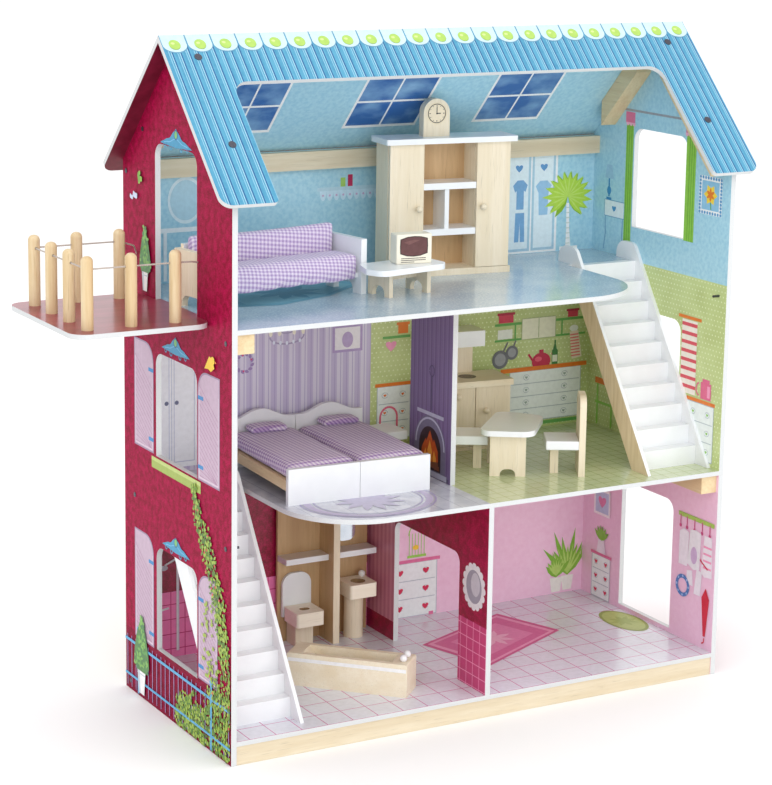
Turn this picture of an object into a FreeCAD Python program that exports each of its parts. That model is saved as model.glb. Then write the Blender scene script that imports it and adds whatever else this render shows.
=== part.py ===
"""A wooden dolls' house, open at the front: three storeys, two stairs, a side balcony, loose furniture.

Lengths are millimetres and +Z is up. The rooms open towards -Y. The origin is on the ground, at the middle of
the box around the whole object. Places inside the house are counted from the left wall's outer face (x), the
front edges of the side walls (y) and the ground (z); at() moves them to the origin above.
"""
import FreeCAD, Part
import math
import os

import Sketcher

doc = FreeCAD.newDocument("dollhouse")


# ---------------------------------------------------------------- driving dimensions

SIZES = (
    ("width", 600), ("depth", 264), ("wall", 6), ("board", 5), ("back", 4),
    ("rail_high", 20), ("rail_deep", 18), ("batten", 20),
    ("middle_level", 235), ("attic_level", 444), ("ridge", 718),
    ("roof_side", 18), ("roof_front", 17), ("roof_round", 12), ("roof_cut_side", 42), ("roof_cut_top", 62),
    ("stairwell", 90), ("well_deep", 176), ("floor_round", 85),
    ("opening_start", 80), ("opening_wide", 101), ("opening_round", 14),
    ("attic_door_top", 606), ("attic_window_low", 481), ("attic_window_top", 595),
    ("middle_window_low", 278), ("middle_window_top", 389),
    ("ground_window_low", 67), ("ground_window_top", 181), ("ground_door_low", 30),
    ("partition_middle_start", 80), ("partition_middle_wide", 88),
    ("doorway_start", 57), ("doorway_wide", 140), ("doorway_top", 166),
    ("balcony_reach", 145), ("balcony_start", 42), ("balcony_wide", 183), ("balcony_round", 18),
    ("post_wide", 12), ("post_high", 72), ("post_inset", 22), ("cord_wide", 1.6), ("cord_hole", 2.6),
    ("stair_wide", 84), ("stringer", 4), ("stair_slope", 56), ("stair_start", 16), ("nosing", 9),
    ("sofa_wide", 198), ("sofa_deep", 62), ("sofa_high", 58),
    ("tv_table_wide", 97), ("tv_table_deep", 51), ("tv_table_high", 33),
    ("wardrobe_wide", 144), ("wardrobe_deep", 38), ("wardrobe_high", 152), ("wardrobe_bay", 36.5),
    ("bed_wide", 82), ("bed_long", 170), ("bed_foot_high", 38.5), ("bed_head_high", 63),
    ("kitchen_wide", 88), ("kitchen_deep", 50), ("kitchen_high", 80), ("hood_low", 116), ("hood_high", 134),
    ("table_wide", 60), ("table_long", 96), ("table_high", 53),
    ("seat_wide", 36), ("seat_deep", 42), ("seat_level", 39.5), ("stool_level", 33), ("chair_high", 89),
    ("bath_wide", 114), ("bath_deep", 38), ("bath_high", 180),
    ("tub_long", 133), ("tub_wide", 37), ("tub_high", 36),
)
RISES = 10          # risers in each stair
SCREW_HEAD = 2.6    # radius, side walls
ROOF_HEAD = 4.0     # radius, roof
SCREW_SHANK = 1.4   # radius
CLEAR = 0.3         # gap between pieces that only stand beside each other

sheet = doc.addObject("Spreadsheet::Sheet", "Sizes")
for row, (alias, value) in enumerate(SIZES, 1):
    sheet.set(f"A{row}", alias)
    sheet.set(f"B{row}", str(value))
    sheet.setAlias(f"B{row}", alias)
doc.recompute()


class Size:
    """A length that knows its value and the sheet expression that gives it."""

    def __init__(self, text, value):
        self.text = text
        self.value = value

    def _join(self, other, sign, value, swap=False):
        texts = [self.text, text_of(other)]
        if swap:
            texts.reverse()
        return Size(f"({texts[0]} {sign} {texts[1]})", value)

    def __add__(self, other):
        return self._join(other, "+", self.value + number(other))

    def __radd__(self, other):
        return self._join(other, "+", self.value + number(other), swap=True)

    def __sub__(self, other):
        return self._join(other, "-", self.value - number(other))

    def __rsub__(self, other):
        return self._join(other, "-", number(other) - self.value, swap=True)

    def __mul__(self, other):
        return self._join(other, "*", self.value * number(other))

    __rmul__ = __mul__

    def __truediv__(self, other):
        return self._join(other, "/", self.value / number(other))


def number(size):
    return size.value if isinstance(size, Size) else float(size)


def text_of(size):
    return size.text if isinstance(size, Size) else repr(float(size))


class Sheet:
    """The sheet's cells as Size values, read by name."""

    def __getattr__(self, alias):
        return Size(f"Sizes.{alias}", float(sheet.get(alias)))


S = Sheet()
ORIGIN_X = (S.width + S.roof_side - S.balcony_reach) / 2
ORIGIN_Y = S.depth / 2
INSIDE = S.width - 2 * S.wall
RIGHT_INSIDE = S.width - S.wall
ROOM_DEEP = S.depth - S.back
SLANT = math.sqrt(2)                       # the roof falls at 45 degrees
GABLE = S.ridge - S.board * SLANT          # top of the side walls, under the ridge
EAVE = GABLE - S.depth / 2                 # top of the side walls at their front and back edges
BASE_LEVEL = S.rail_high + S.board         # top of the lowest floor


# ---------------------------------------------------------------- building helpers

PLANES = {"XY": (0, 1), "XZ": (0, 2), "YZ": (1, 2)}   # plane: the two axes its sketches are drawn along
nodes = []


def bind(thing, prop, size):
    thing.setExpression(prop, text_of(size))


def move(thing, x=0, y=0, z=0):
    """Binds a piece's place, in its own frame."""
    for axis, size in zip("xyz", (x, y, z)):
        bind(thing, f"Placement.Base.{axis}", size)
    return thing


def node(thing, label):
    thing.Label = label
    nodes.append(thing)
    return thing


def at(thing, label, x, y, z):
    """Places a finished node by its position inside the house."""
    return node(move(thing, x - ORIGIN_X, y - ORIGIN_Y, z), label)


def spot(x, y, z, turn=0.0):
    """The frame of a loose piece of furniture that stands at a point of the house, turned about +Z."""
    base = FreeCAD.Vector(x - ORIGIN_X.value, y - ORIGIN_Y.value, number(z))
    return FreeCAD.Placement(base, FreeCAD.Rotation(FreeCAD.Vector(0, 0, 1), turn))


def inside(frame, x, y, z, turn=0.0):
    """A frame given inside another one."""
    step = FreeCAD.Placement(FreeCAD.Vector(x, y, z), FreeCAD.Rotation(FreeCAD.Vector(0, 0, 1), turn))
    return frame.multiply(step)


def block(wide, deep, high, x=0, y=0, z=0):
    box = doc.addObject("Part::Box", "Block")
    bind(box, "Length", wide)
    bind(box, "Width", deep)
    bind(box, "Height", high)
    return move(box, x, y, z)


def rod(radius, high, x=0, y=0, z=0, axis="z"):
    """A round bar from (x, y, z) along +X, -Y or +Z."""
    cylinder = doc.addObject("Part::Cylinder", "Rod")
    bind(cylinder, "Radius", radius)
    bind(cylinder, "Height", high)
    pivot = {"x": FreeCAD.Vector(0, 1, 0), "-y": FreeCAD.Vector(1, 0, 0), "z": FreeCAD.Vector(0, 0, 1)}[axis]
    quarter = 0 if axis == "z" else 90
    cylinder.Placement = FreeCAD.Placement(FreeCAD.Vector(0, 0, 0), FreeCAD.Rotation(pivot, quarter))
    return move(cylinder, x, y, z)


def ball(radius, x, y, z):
    sphere = doc.addObject("Part::Sphere", "Ball")
    bind(sphere, "Radius", radius)
    return move(sphere, x, y, z)


def fuse(*pieces):
    joined = doc.addObject("Part::MultiFuse", "Joined")
    joined.Shapes = list(pieces)
    return joined


def cut(piece, *tools):
    result = doc.addObject("Part::Cut", "Cut")
    result.Base = piece
    result.Tool = tools[0] if len(tools) == 1 else fuse(*tools)
    return result


def group(label, pieces, frame=None):
    """A node made of separate solids, placed by a frame."""
    bundle = doc.addObject("Part::Compound", "Bundle")
    bundle.Links = list(pieces)
    if frame is not None:
        bundle.Placement = frame
    return node(bundle, label)


def draw(sketch, corners):
    """Adds a closed outline of straight lines whose corners are bound to the sheet."""
    first = sketch.GeometryCount
    count = len(corners)
    points = [FreeCAD.Vector(number(u), number(v), 0) for u, v in corners]
    for i in range(count):
        sketch.addGeometry(Part.LineSegment(points[i], points[(i + 1) % count]), False)
    for i in range(count):
        line = first + i
        following = first + (i + 1) % count
        sketch.addConstraint(Sketcher.Constraint("Coincident", line, 2, following, 1))
    for i, (u, v) in enumerate(corners):
        for kind, size in (("DistanceX", u), ("DistanceY", v)):
            bound = sketch.addConstraint(Sketcher.Constraint(kind, -1, 1, first + i, 1, number(size)))
            sketch.setExpression(f"Constraints[{bound}]", text_of(size))


def sketch_on(body, plane):
    sketch = body.newObject("Sketcher::SketchObject", "Outline")
    base = [feature for feature in body.Origin.OriginFeatures if feature.Role == plane + "_Plane"]
    sketch.AttachmentSupport = [(base[0], "")]
    sketch.MapMode = "FlatFace"
    return sketch


def corner_edges(shape, plane, corners):
    """Names of the edges that run through a board at the given corners of its outline."""
    axes = PLANES[plane]
    names = []
    for index, edge in enumerate(shape.Edges, 1):
        ends = [[vertex.Point[a] for a in axes] for vertex in edge.Vertexes]
        for u, v in corners:
            if len(ends) == 2 and all(math.hypot(e[0] - number(u), e[1] - number(v)) < 0.01 for e in ends):
                names.append(f"Edge{index}")
    return names


def panel(plane, thick, corners, holes=(), rounds=(), flip=False):
    """A board with straight sides, holes through it, and rounded corners: (radius, (corner, ...)) in rounds.

    It grows from its plane along +X, +Z or, for the XZ plane, -Y; flip turns that round.
    """
    body = doc.addObject("PartDesign::Body", "Panel")
    outline = sketch_on(body, plane)
    draw(outline, corners)
    pad = body.newObject("PartDesign::Pad", "Board")
    pad.Profile = outline
    bind(pad, "Length", thick)
    pad.Reversed = flip
    doc.recompute()
    if holes:
        solid_volume = pad.Shape.Volume
        hole_sketch = sketch_on(body, plane)
        for hole in holes:
            draw(hole_sketch, hole)
        pocket = body.newObject("PartDesign::Pocket", "Openings")
        pocket.Profile = hole_sketch
        pocket.Type = "ThroughAll"
        pocket.Reversed = not flip
        doc.recompute()
        if pocket.Shape.Volume > solid_volume - 1:
            raise RuntimeError("the openings were not cut")
    for radius, places in rounds:
        before = body.Tip
        names = corner_edges(before.Shape, plane, places)
        if len(names) != len(places):
            raise RuntimeError(f"found {len(names)} of {len(places)} corners to round")
        fillet = body.newObject("PartDesign::Fillet", "Round")
        fillet.Base = (before, names)
        bind(fillet, "Radius", radius)
        doc.recompute()
        if fillet.Shape.isNull() or not fillet.Shape.isValid():
            raise RuntimeError(f"corners of {len(places)} places were not rounded")
    return body


def rectangle(u, v, wide, high):
    return [(u, v), (u + wide, v), (u + wide, v + high), (u, v + high)]


def softened(piece, radius):
    """A block with all its edges rounded."""
    doc.recompute()
    fillet = doc.addObject("Part::Fillet", "Soft")
    fillet.Base = piece
    fillet.Edges = [(index, radius, radius) for index in range(1, len(piece.Shape.Edges) + 1)]
    return fillet


def knob(x, y, z, radius=3.6):
    """A turned knob on a door's front face, which is at y."""
    return fuse(rod(radius * 0.45, 3.2, x, y + 0.8, z, "-y"), ball(radius, x, y - 4.6, z))


# ---------------------------------------------------------------- the house: walls, floors and partitions

OPENING_END = S.opening_start + S.opening_wide


def wall_outline():
    return [(0, 0), (S.depth, 0), (S.depth, EAVE), (S.depth / 2, GABLE), (0, EAVE)]


def opening(low, top):
    return rectangle(S.opening_start, low, S.opening_wide, top - low)


def top_corners(*tops):
    return [(u, top) for top in tops for u in (S.opening_start, OPENING_END)]


def side_walls():
    left = panel(
        "YZ", S.wall, wall_outline(),
        [opening(S.attic_level - S.board, S.attic_door_top),
         opening(S.middle_window_low, S.middle_window_top),
         opening(S.ground_window_low, S.ground_window_top)],
        [(S.opening_round, top_corners(S.attic_door_top, S.middle_window_top, S.ground_window_top))],
    )
    at(left, "left_wall", 0, 0, 0)
    right = panel(
        "YZ", S.wall, wall_outline(),
        [opening(S.attic_window_low, S.attic_window_top), opening(S.middle_window_low, S.middle_window_top),
         opening(S.ground_door_low, S.ground_window_top)],
        [(S.opening_round, top_corners(S.attic_window_top, S.middle_window_top, S.ground_window_top))],
    )
    at(right, "right_wall", RIGHT_INSIDE, 0, 0)


def back_panels():
    ground_top = S.middle_level - S.board / 2
    middle_top = S.attic_level - S.board / 2
    attic_top = EAVE - CLEAR
    for label, low, top in (
        ("back_panel_ground", 0, ground_top),
        ("back_panel_middle", ground_top, middle_top),
        ("back_panel_attic", middle_top, attic_top),
    ):
        at(block(INSIDE, S.back, top - low), label, S.wall, ROOM_DEEP, low)


def floors():
    """Three floors; the upper two leave a stairwell beside a side wall, with a round corner next to it."""
    at(block(INSIDE, ROOM_DEEP, S.board), "base_floor", S.wall, 0, S.rail_high)
    well = S.stairwell
    middle = panel(
        "XY", S.board,
        [(well, 0), (INSIDE, 0), (INSIDE, ROOM_DEEP), (0, ROOM_DEEP), (0, S.well_deep), (well, S.well_deep)],
        rounds=[(S.floor_round, [(well, 0)])],
    )
    at(middle, "middle_floor", S.wall, 0, S.middle_level - S.board)
    edge = INSIDE - well
    attic = panel(
        "XY", S.board,
        [(0, 0), (edge, 0), (edge, S.well_deep), (INSIDE, S.well_deep), (INSIDE, ROOM_DEEP), (0, ROOM_DEEP)],
        rounds=[(S.floor_round, [(edge, 0)])],
    )
    at(attic, "attic_floor", S.wall, 0, S.attic_level - S.board)


def partitions():
    middle_x = (S.width - S.wall) / 2
    low = S.rail_high + S.board
    high = S.middle_level - S.board - low
    doorway_end = S.doorway_start + S.doorway_wide
    top = S.doorway_top - low
    ground = panel(
        "YZ", S.wall,
        [(0, 0), (S.doorway_start, 0), (S.doorway_start, top), (doorway_end, top), (doorway_end, 0),
         (ROOM_DEEP, 0), (ROOM_DEEP, high), (0, high)],
        rounds=[(12, [(S.doorway_start, top), (doorway_end, top)])],
    )
    at(ground, "partition_ground", middle_x, 0, low)
    storey = S.attic_level - S.board - S.middle_level
    at(block(S.wall, S.partition_middle_wide, storey), "partition_middle", middle_x, S.partition_middle_start,
       S.middle_level)


def rails_and_battens():
    front = block(INSIDE, S.rail_deep, S.rail_high, S.wall, 1)
    rear = block(INSIDE, S.rail_deep, S.rail_high, S.wall, ROOM_DEEP - S.rail_deep)
    at(group_at([front, rear]), "base_rails", 0, 0, 0)

    side = S.batten
    under_attic = block(side, ROOM_DEEP - 4, side, S.wall, 4, S.attic_level - S.board - side)
    under_middle = block(side, ROOM_DEEP - 4, side, RIGHT_INSIDE - side, 4, S.middle_level - S.board - side)
    back_rail = block(INSIDE, side / 2, side, S.wall, ROOM_DEEP - side / 2, 558)
    sloped = [slope_batten(x, towards) for x in (S.wall, RIGHT_INSIDE - side) for towards in (-1, 1)]
    at(group_at([under_attic, under_middle, back_rail] + sloped), "support_battens", 0, 0, 0)


def group_at(pieces):
    bundle = doc.addObject("Part::Compound", "Bundle")
    bundle.Links = pieces
    return bundle


def slope_batten(x, towards):
    """A batten under the roof, along a gable's slope; towards is -1 at the front and +1 at the back."""
    near = 22                                            # distances from the ridge, measured level
    far = 121 if towards < 0 else 88
    deep = S.batten * SLANT
    points = []
    for level, drop in ((near, 0), (far, 0), (far, deep), (near, deep)):
        points.append((S.depth / 2 + towards * level, GABLE - CLEAR - level - drop))
    return move(panel("YZ", S.batten, points), x, 0, 0)


# ---------------------------------------------------------------- the roof

def roof():
    """Two boards mitred at the ridge. The front one is cut back to a frame that leaves the attic open."""
    reach = S.depth / 2 + S.roof_front
    long = S.width + 2 * S.roof_side
    cut_left = S.roof_side + S.roof_cut_side
    cut_right = long - cut_left
    slope_long = reach * SLANT
    top = slope_long + 20
    cut_top = slope_long - S.roof_cut_top
    outer = [(0, 0), (long, 0)]
    sides = [(long, top), (0, top)]
    plain = panel("XY", 40, outer + sides, rounds=[(S.roof_round, outer)])
    inner = [(cut_left, 0), (cut_left, cut_top), (cut_right, cut_top), (cut_right, 0)]
    frame = panel("XY", 40, outer[:1] + inner + outer[1:] + sides,
                  rounds=[(S.roof_round, outer), (5, [inner[0], inner[3]]), (16, inner[1:3])])
    for label, towards, outline in (("roof_front", -1, frame), ("roof_back", 1, plain)):
        lay_on_slope(outline, towards, reach)
        board = doc.addObject("Part::Common", "Common")
        board.Base = move(panel("YZ", long, roof_profile(towards, reach)), 0 - S.roof_side, 0 - ROOF_LIFT, 0)
        board.Tool = outline
        at(board, label, 0, 0, 0)


ROOF_LIFT = 40      # keeps the sketch of the roof, which starts in front of the walls, on its positive side


def roof_profile(towards, reach):
    """The section of one roof board: mitred at the ridge and cut square at the eave."""
    skin = S.board * SLANT
    square = S.board / SLANT
    ridge_y = S.depth / 2 + ROOF_LIFT
    outer = ridge_y + reach * towards
    inner = ridge_y + (reach - square) * towards
    eave_z = S.ridge - reach
    return [(outer, eave_z), (ridge_y, S.ridge), (ridge_y, S.ridge - skin), (inner, eave_z - square)]


def lay_on_slope(outline, towards, reach):
    """Tilts a 40 mm thick outline, drawn from the eave upwards, so one roof board lies in its middle."""
    half = 20 / SLANT
    eave_y = number(S.depth / 2 + reach * towards) + half
    eave_z = number(S.ridge - reach) + towards * half
    tilt = FreeCAD.Rotation(FreeCAD.Vector(1, 0, 0), 90 + towards * 45)
    outline.Placement = FreeCAD.Placement(FreeCAD.Vector(-number(S.roof_side), eave_y, eave_z), tilt)


# ---------------------------------------------------------------- stairs

def stairs(label, x, floor_level, upper_level):
    """A stair with two stringers that hook over the upper floor's edge, and one bent step for each riser."""
    slope = math.tan(math.radians(number(S.stair_slope)))
    start = S.stair_start
    total = upper_level - floor_level
    rise = total / RISES
    run = rise / slope
    hook_end = S.well_deep + 28
    top = total + 20
    rear_foot = start + 31
    rear_top = (S.well_deep - CLEAR - rear_foot) * slope
    corners = [(start, 0), (rear_foot, 0), (S.well_deep - CLEAR, rear_top), (S.well_deep - CLEAR, total),
               (hook_end, total), (hook_end, top), (start + top / slope, top)]
    sides = []
    for side_x in (0, S.stair_wide - S.stringer):
        side = panel("YZ", S.stringer, corners, rounds=[(14, [corners[-1]]), (16, [corners[-2]])])
        sides.append(move(side, side_x, 0, 0))
    at(group_at(sides), label + "_stringers", x, 0, floor_level)

    tread_wide = S.stair_wide - 2 * S.stringer
    steps = []
    for count in range(1, RISES + 1):
        nose = start + S.nosing + run * count
        level = rise * count
        deep = S.well_deep - CLEAR - nose if count == RISES else run + S.stringer
        riser = S.stringer
        step = panel("YZ", tread_wide, [
            (nose, level - rise), (nose + riser, level - rise), (nose + riser, level - riser),
            (nose + deep, level - riser), (nose + deep, level), (nose, level)])
        steps.append(move(step, S.stringer, 0, 0))
    at(group_at(steps), label + "_steps", x, 0, floor_level)


# ---------------------------------------------------------------- the balcony

def balcony():
    """A plate outside the attic door, a tongue through the doorway, eight posts and one threaded cord."""
    reach = S.balcony_reach
    wide = S.balcony_wide
    tongue_low = S.opening_start - S.balcony_start + CLEAR
    tongue_high = tongue_low + S.opening_wide - 2 * CLEAR
    outer_corners = [(0, 0), (0, wide), (reach, 0), (reach, wide)]
    plate = panel(
        "XY", S.board,
        [(0, 0), (reach, 0), (reach, tongue_low), (reach + S.wall, tongue_low),
         (reach + S.wall, tongue_high),
         (reach, tongue_high), (reach, wide), (0, wide)],
        rounds=[(S.balcony_round, outer_corners)],
    )
    at(plate, "balcony_plate", 0 - reach, S.balcony_start, S.attic_level - S.board)

    front = number(S.balcony_start + S.post_inset)
    rear = number(S.balcony_start + S.balcony_wide - S.post_inset)
    outer = -number(S.balcony_reach - S.post_inset)
    third = (rear - front) / 3
    places = [(outer, front), (outer, front + third), (outer, rear - third), (outer, rear)]
    places += [(x, y) for y in (front, rear) for x in (outer * 0.63, outer * 0.25)]
    cord_level = number(S.attic_level) + 59
    route = cord_route(outer, front, rear, cord_level)
    clearance = cord(route, number(S.cord_hole) / 2)
    posts = []
    for x, y in places:
        post = rod(S.post_wide / 2, S.post_high, x, y, S.attic_level)
        doc.recompute()
        domed = doc.addObject("Part::Fillet", "Domed")
        domed.Base = post
        domed.Edges = [(top_circle(post.Shape), 5.4, 5.4)]
        posts.append(cut(domed, clearance))
    at(group_at(posts), "balcony_posts", 0, 0, 0)
    at(cord(route, number(S.cord_wide) / 2), "balcony_cord", 0, 0, 0)


def top_circle(shape):
    heights = [edge.CenterOfMass.z if len(edge.Vertexes) == 1 else -1 for edge in shape.Edges]
    return heights.index(max(heights)) + 1


def cord_route(outer, front, rear, level):
    """The cord's corners: it leaves the wall, runs round the three open sides and comes back to the wall."""
    return [(0, front + 14, level - 4), (-12, front + 4, level - 1), (-30, front, level),
            (outer, front, level),
            (outer, rear, level), (-30, rear, level), (-11, rear + 8, level - 7), (0, rear + 26, level - 19)]


def cord(route, radius):
    """A round cord through straight runs joined by tangent arcs."""
    points = [FreeCAD.Vector(*place) for place in route]
    edges = []
    start = points[0]
    for before, here, after in zip(points, points[1:], points[2:]):
        arrive = (here - before).normalize()
        leave = (after - here).normalize()
        turn = arrive.getAngle(leave)
        run = min((here - before).Length, (after - here).Length)
        cut_back = min(0.45 * run, CORNER_BEND * math.tan(turn / 2))
        bend = cut_back / math.tan(turn / 2)
        middle = (leave - arrive).normalize()
        centre = here + middle * (bend / math.cos(turn / 2))
        entry = here - arrive * cut_back
        leaving = here + leave * cut_back
        edges.append(Part.LineSegment(start, entry).toShape())
        edges.append(Part.Arc(entry, centre - middle * bend, leaving).toShape())
        start = leaving
    edges.append(Part.LineSegment(start, points[-1]).toShape())
    path = Part.Wire(edges)
    first = points[1] - points[0]
    section = Part.Wire(Part.Circle(points[0], first, radius).toShape())
    tube = path.makePipeShell([section], True, False)
    feature = doc.addObject("Part::Feature", "Cord")
    feature.Shape = tube
    volume = math.pi * radius ** 2 * path.Length
    print(f"cord: {path.Length:.1f} mm long, volume {tube.Volume / volume:.3f} of section times length")
    return feature


CORNER_BEND = 4.5    # radius of the cord's turn inside a corner post


# ---------------------------------------------------------------- screws

def screws():
    """Screws through the side walls into rails, floors and battens, and through the roof."""
    rail = S.rail_high / 2
    heights = (
        (13.5, S.attic_level - S.board - S.batten / 2), (250, S.attic_level - S.board - S.batten / 2),
        (13, S.middle_level - S.board / 2 - 10), (237, S.middle_level - S.board / 2 - 10),
        (10, rail), (ROOM_DEEP - S.rail_deep / 2, rail),
        (ROOM_DEEP - 5, 568), (212, GABLE - CLEAR - 80 - S.batten / SLANT),
        (52, GABLE - CLEAR - 80 - S.batten / SLANT),
    )
    heads = []
    proud = 0.6
    for y, z in heights:
        for x, shank_x in ((0 - proud, 0), (S.width, S.width - S.wall - 8)):
            head = rod(SCREW_HEAD, proud, x, y, z, "x")
            shank = rod(SCREW_SHANK, S.wall + 8, shank_x, y, z, "x")
            heads.append(fuse(head, shank))
    for x in (S.wall + S.batten / 2, RIGHT_INSIDE - S.batten / 2):
        for towards in (-1, 1):
            for down in (29, 139 if towards < 0 else 110):
                heads.append(roof_screw(number(x), towards, down, proud))
    at(group_at(heads), "panel_screws", 0, 0, 0)


def roof_screw(x, towards, down, proud):
    """A screw square to the roof, at a distance down the slope from the ridge."""
    head = rod(ROOF_HEAD, proud)
    shank = rod(SCREW_SHANK, S.board + 10, 0, 0, 0 - S.board - 10)
    screw = fuse(head, shank)
    y = number(S.depth) / 2 + towards * down / SLANT
    z = number(S.ridge) - down / SLANT
    screw.Placement = FreeCAD.Placement(
        FreeCAD.Vector(x, y, z), FreeCAD.Rotation(FreeCAD.Vector(1, 0, 0), -45 * towards))
    return screw


# ---------------------------------------------------------------- furniture shared by several rooms

def arched_leg(thick, wide, high, arch_wide, arch_high, x, y, z=0, plane="YZ"):
    """A panel leg with a rounded arch cut out of its foot."""
    low = (wide - arch_wide) / 2
    end = low + arch_wide
    leg = panel(plane, thick, [(0, 0), (low, 0), (low, arch_high), (end, arch_high), (end, 0), (wide, 0),
                               (wide, high), (0, high)],
                rounds=[(number(arch_high) * 0.8, [(low, arch_high), (end, arch_high)])], flip=plane == "XZ")
    return move(leg, x, y, z)


def sofa():
    frame = spot(16.5, 88.7, S.attic_level, 8.5)
    arm = 7
    inner = S.sofa_wide - 2 * arm
    arms = [arched_leg(arm, S.sofa_deep, S.sofa_high, 34, 12, x, 0) for x in (0, S.sofa_wide - arm)]
    seat_board = block(inner, S.sofa_deep - 12, 5, arm, 6, 17)
    back_board = block(inner, 5, 45, arm, S.sofa_deep - 6, 17)
    group("sofa_frame", arms + [seat_board, back_board], frame)
    low, board_top, top, lip, rear = 12, 22.3, 41.3, 5.6, 44
    outline = [(1, low), (lip, low), (lip, board_top), (rear, board_top), (rear, top), (1, top)]
    seat = panel("YZ", inner - 1, outline,
                 rounds=[(2, [(1, low), (lip, low)]), (4, [(rear, top), (1, top)])])
    group("sofa_seat_cushion", [move(seat, arm + 0.5, 0, 0)], frame)
    back_cushion = softened(block(inner - 1, 11, 49, arm + 0.5, 44.5, 23), 4)
    group("sofa_back_cushion", [back_cushion], frame)


def tv_table():
    frame = spot(221.1, 84.8, S.attic_level, 9.7)
    thick, leg_deep, apart = 6, 35.4, 51.4
    leg_high = S.tv_table_high - thick
    legs = [arched_leg(5, leg_deep, leg_high, 20, 11, x, 0) for x in (0, apart)]
    stretcher = block(apart - 5, 5, 12, 5, leg_deep / 2, leg_high - 12)
    group("tv_table_legs", legs + [stretcher], frame)
    wide, deep = S.tv_table_wide, S.tv_table_deep
    corners = [(6, 0), (wide, 2), (wide, deep), (14, deep), (0, deep * 0.42)]
    top = panel("XY", thick, corners, rounds=[(13, corners[:2]), (7, corners[2:])])
    group("tv_table_top", [move(top, -29, -19, leg_high)], frame)
    set_frame = spot(233.5, 92, S.attic_level + S.tv_table_high, -7)
    case = softened(block(40, 18, 31.5), 1.5)
    group("television", [case], set_frame)


def wardrobe():
    frame = spot(275.5, 183, S.attic_level, -6.5)
    wide, deep, high = S.wardrobe_wide, S.wardrobe_deep, S.wardrobe_high
    plinth_high, top_thick, side, front = 7, 6, 4, 5.6
    inner_high = high - plinth_high - top_thick
    bay = S.wardrobe_bay
    pin = 1.0
    pins = [(2.3, 2.3), (wide - 2.3, 2.3)]
    plinth = cut(block(wide + 4, deep, plinth_high, -2, 0),
                 *[rod(pin + 0.08, 3, x, y, plinth_high - 2.5) for x, y in pins])
    uprights = [block(side, deep - front - side, inner_high, x, front, plinth_high)
                for x in (0, bay, wide - bay - side, wide - side)]
    rear = block(wide, side, inner_high, 0, deep - side, plinth_high)
    group("wardrobe_carcass", [plinth, rear] + uprights, frame)
    outline = rectangle(0, 0, wide + 12, deep + 8)
    board = panel("XY", top_thick, outline, rounds=[(2, outline)])
    top = cut(move(board, -6, -6, high - top_thick),
              *[rod(pin + 0.08, 3, x, y, high - top_thick - 0.5) for x, y in pins])
    group("wardrobe_top", [top], frame)

    niche = bay + side
    niche_wide = wide - 2 * niche
    shelf_deep = deep - side - 1
    lower, upper, thick = 44.5, 95, 7
    shelves = [block(niche_wide, shelf_deep, thick, niche, 1, z) for z in (lower, upper)]
    middle = block(5, shelf_deep - 2, upper - lower - thick, niche + niche_wide * 0.42, 3, lower + thick)
    group("wardrobe_shelves", shelves + [middle], frame)

    door_wide = niche - 0.6
    low, door_high = plinth_high + 0.5, inner_high - 1
    for label, x, knob_x, pin_x in (
        ("wardrobe_door_left", 0.4, niche - 7, 2.3),
        ("wardrobe_door_right", wide - 0.4 - door_wide, wide - niche + 7, wide - 2.3),
    ):
        hung_door(label, frame, x, door_wide, low, door_high, knob_x, 75, pin_x, pin)

    clock = panel("XZ", 12, rectangle(0, 0, 31, 41), rounds=[(15.4, [(0, 41), (31, 41)])], flip=True)
    group("mantel_clock", [clock], inside(frame, 44, 12, number(high)))


def hung_door(label, frame, x, wide, low, high, knob_x, knob_z, pin_x, pin):
    """A door with its knob and the two pins it turns on, in one piece."""
    leaf = block(wide, 4.3, high, x, 0, low)
    lower_pin = rod(pin, 4, pin_x, 2.3, low - 2)
    upper_pin = rod(pin, 4, pin_x, 2.3, low + high - 2)
    group(label, [fuse(leaf, lower_pin, upper_pin, knob(knob_x, 0, knob_z))], frame)


def bed(side, frame, pillow_x):
    wide, long = S.bed_wide, S.bed_long
    high = S.bed_head_high
    crest = 10
    foot = block(wide, 6, S.bed_foot_high)
    shoulder = high - crest
    head_corners = [(0, 0), (wide, 0), (wide, shoulder), (wide - 12, shoulder), (wide - 34, high),
                    (34, high), (12, shoulder), (0, shoulder)]
    head = panel("XZ", 6, head_corners, flip=True, rounds=[(28, head_corners[3:7])])
    move(head, 0, long - 6, 0)
    rail_low, rail_high = 14, 11
    rails = [block(5, long - 12, rail_high, x, 6, rail_low) for x in (1, wide - 6)]
    boards = block(wide - 12, long - 12, 4, 6, 6, rail_low + rail_high - 5)
    group(f"bed_{side}_frame", [foot, head, boards] + rails, frame)
    soft_low = rail_low + rail_high + 0.3
    blanket_high = 16
    blanket = softened(block(wide - 0.6, long - 13, blanket_high, 0.3, 6.5, soft_low), 4)
    group(f"bed_{side}_blanket", [blanket], frame)
    pillow = softened(block(46, 25, 8, pillow_x, long - 33, soft_low + blanket_high + 0.3), 3.5)
    group(f"bed_{side}_pillow", [pillow], frame)


def beds():
    frame = spot(105, 84, S.middle_level, -2.7)
    bed("left", frame, 18)
    bed("right", inside(frame, number(S.bed_wide) + 0.6, 0, 0), 22)


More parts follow.
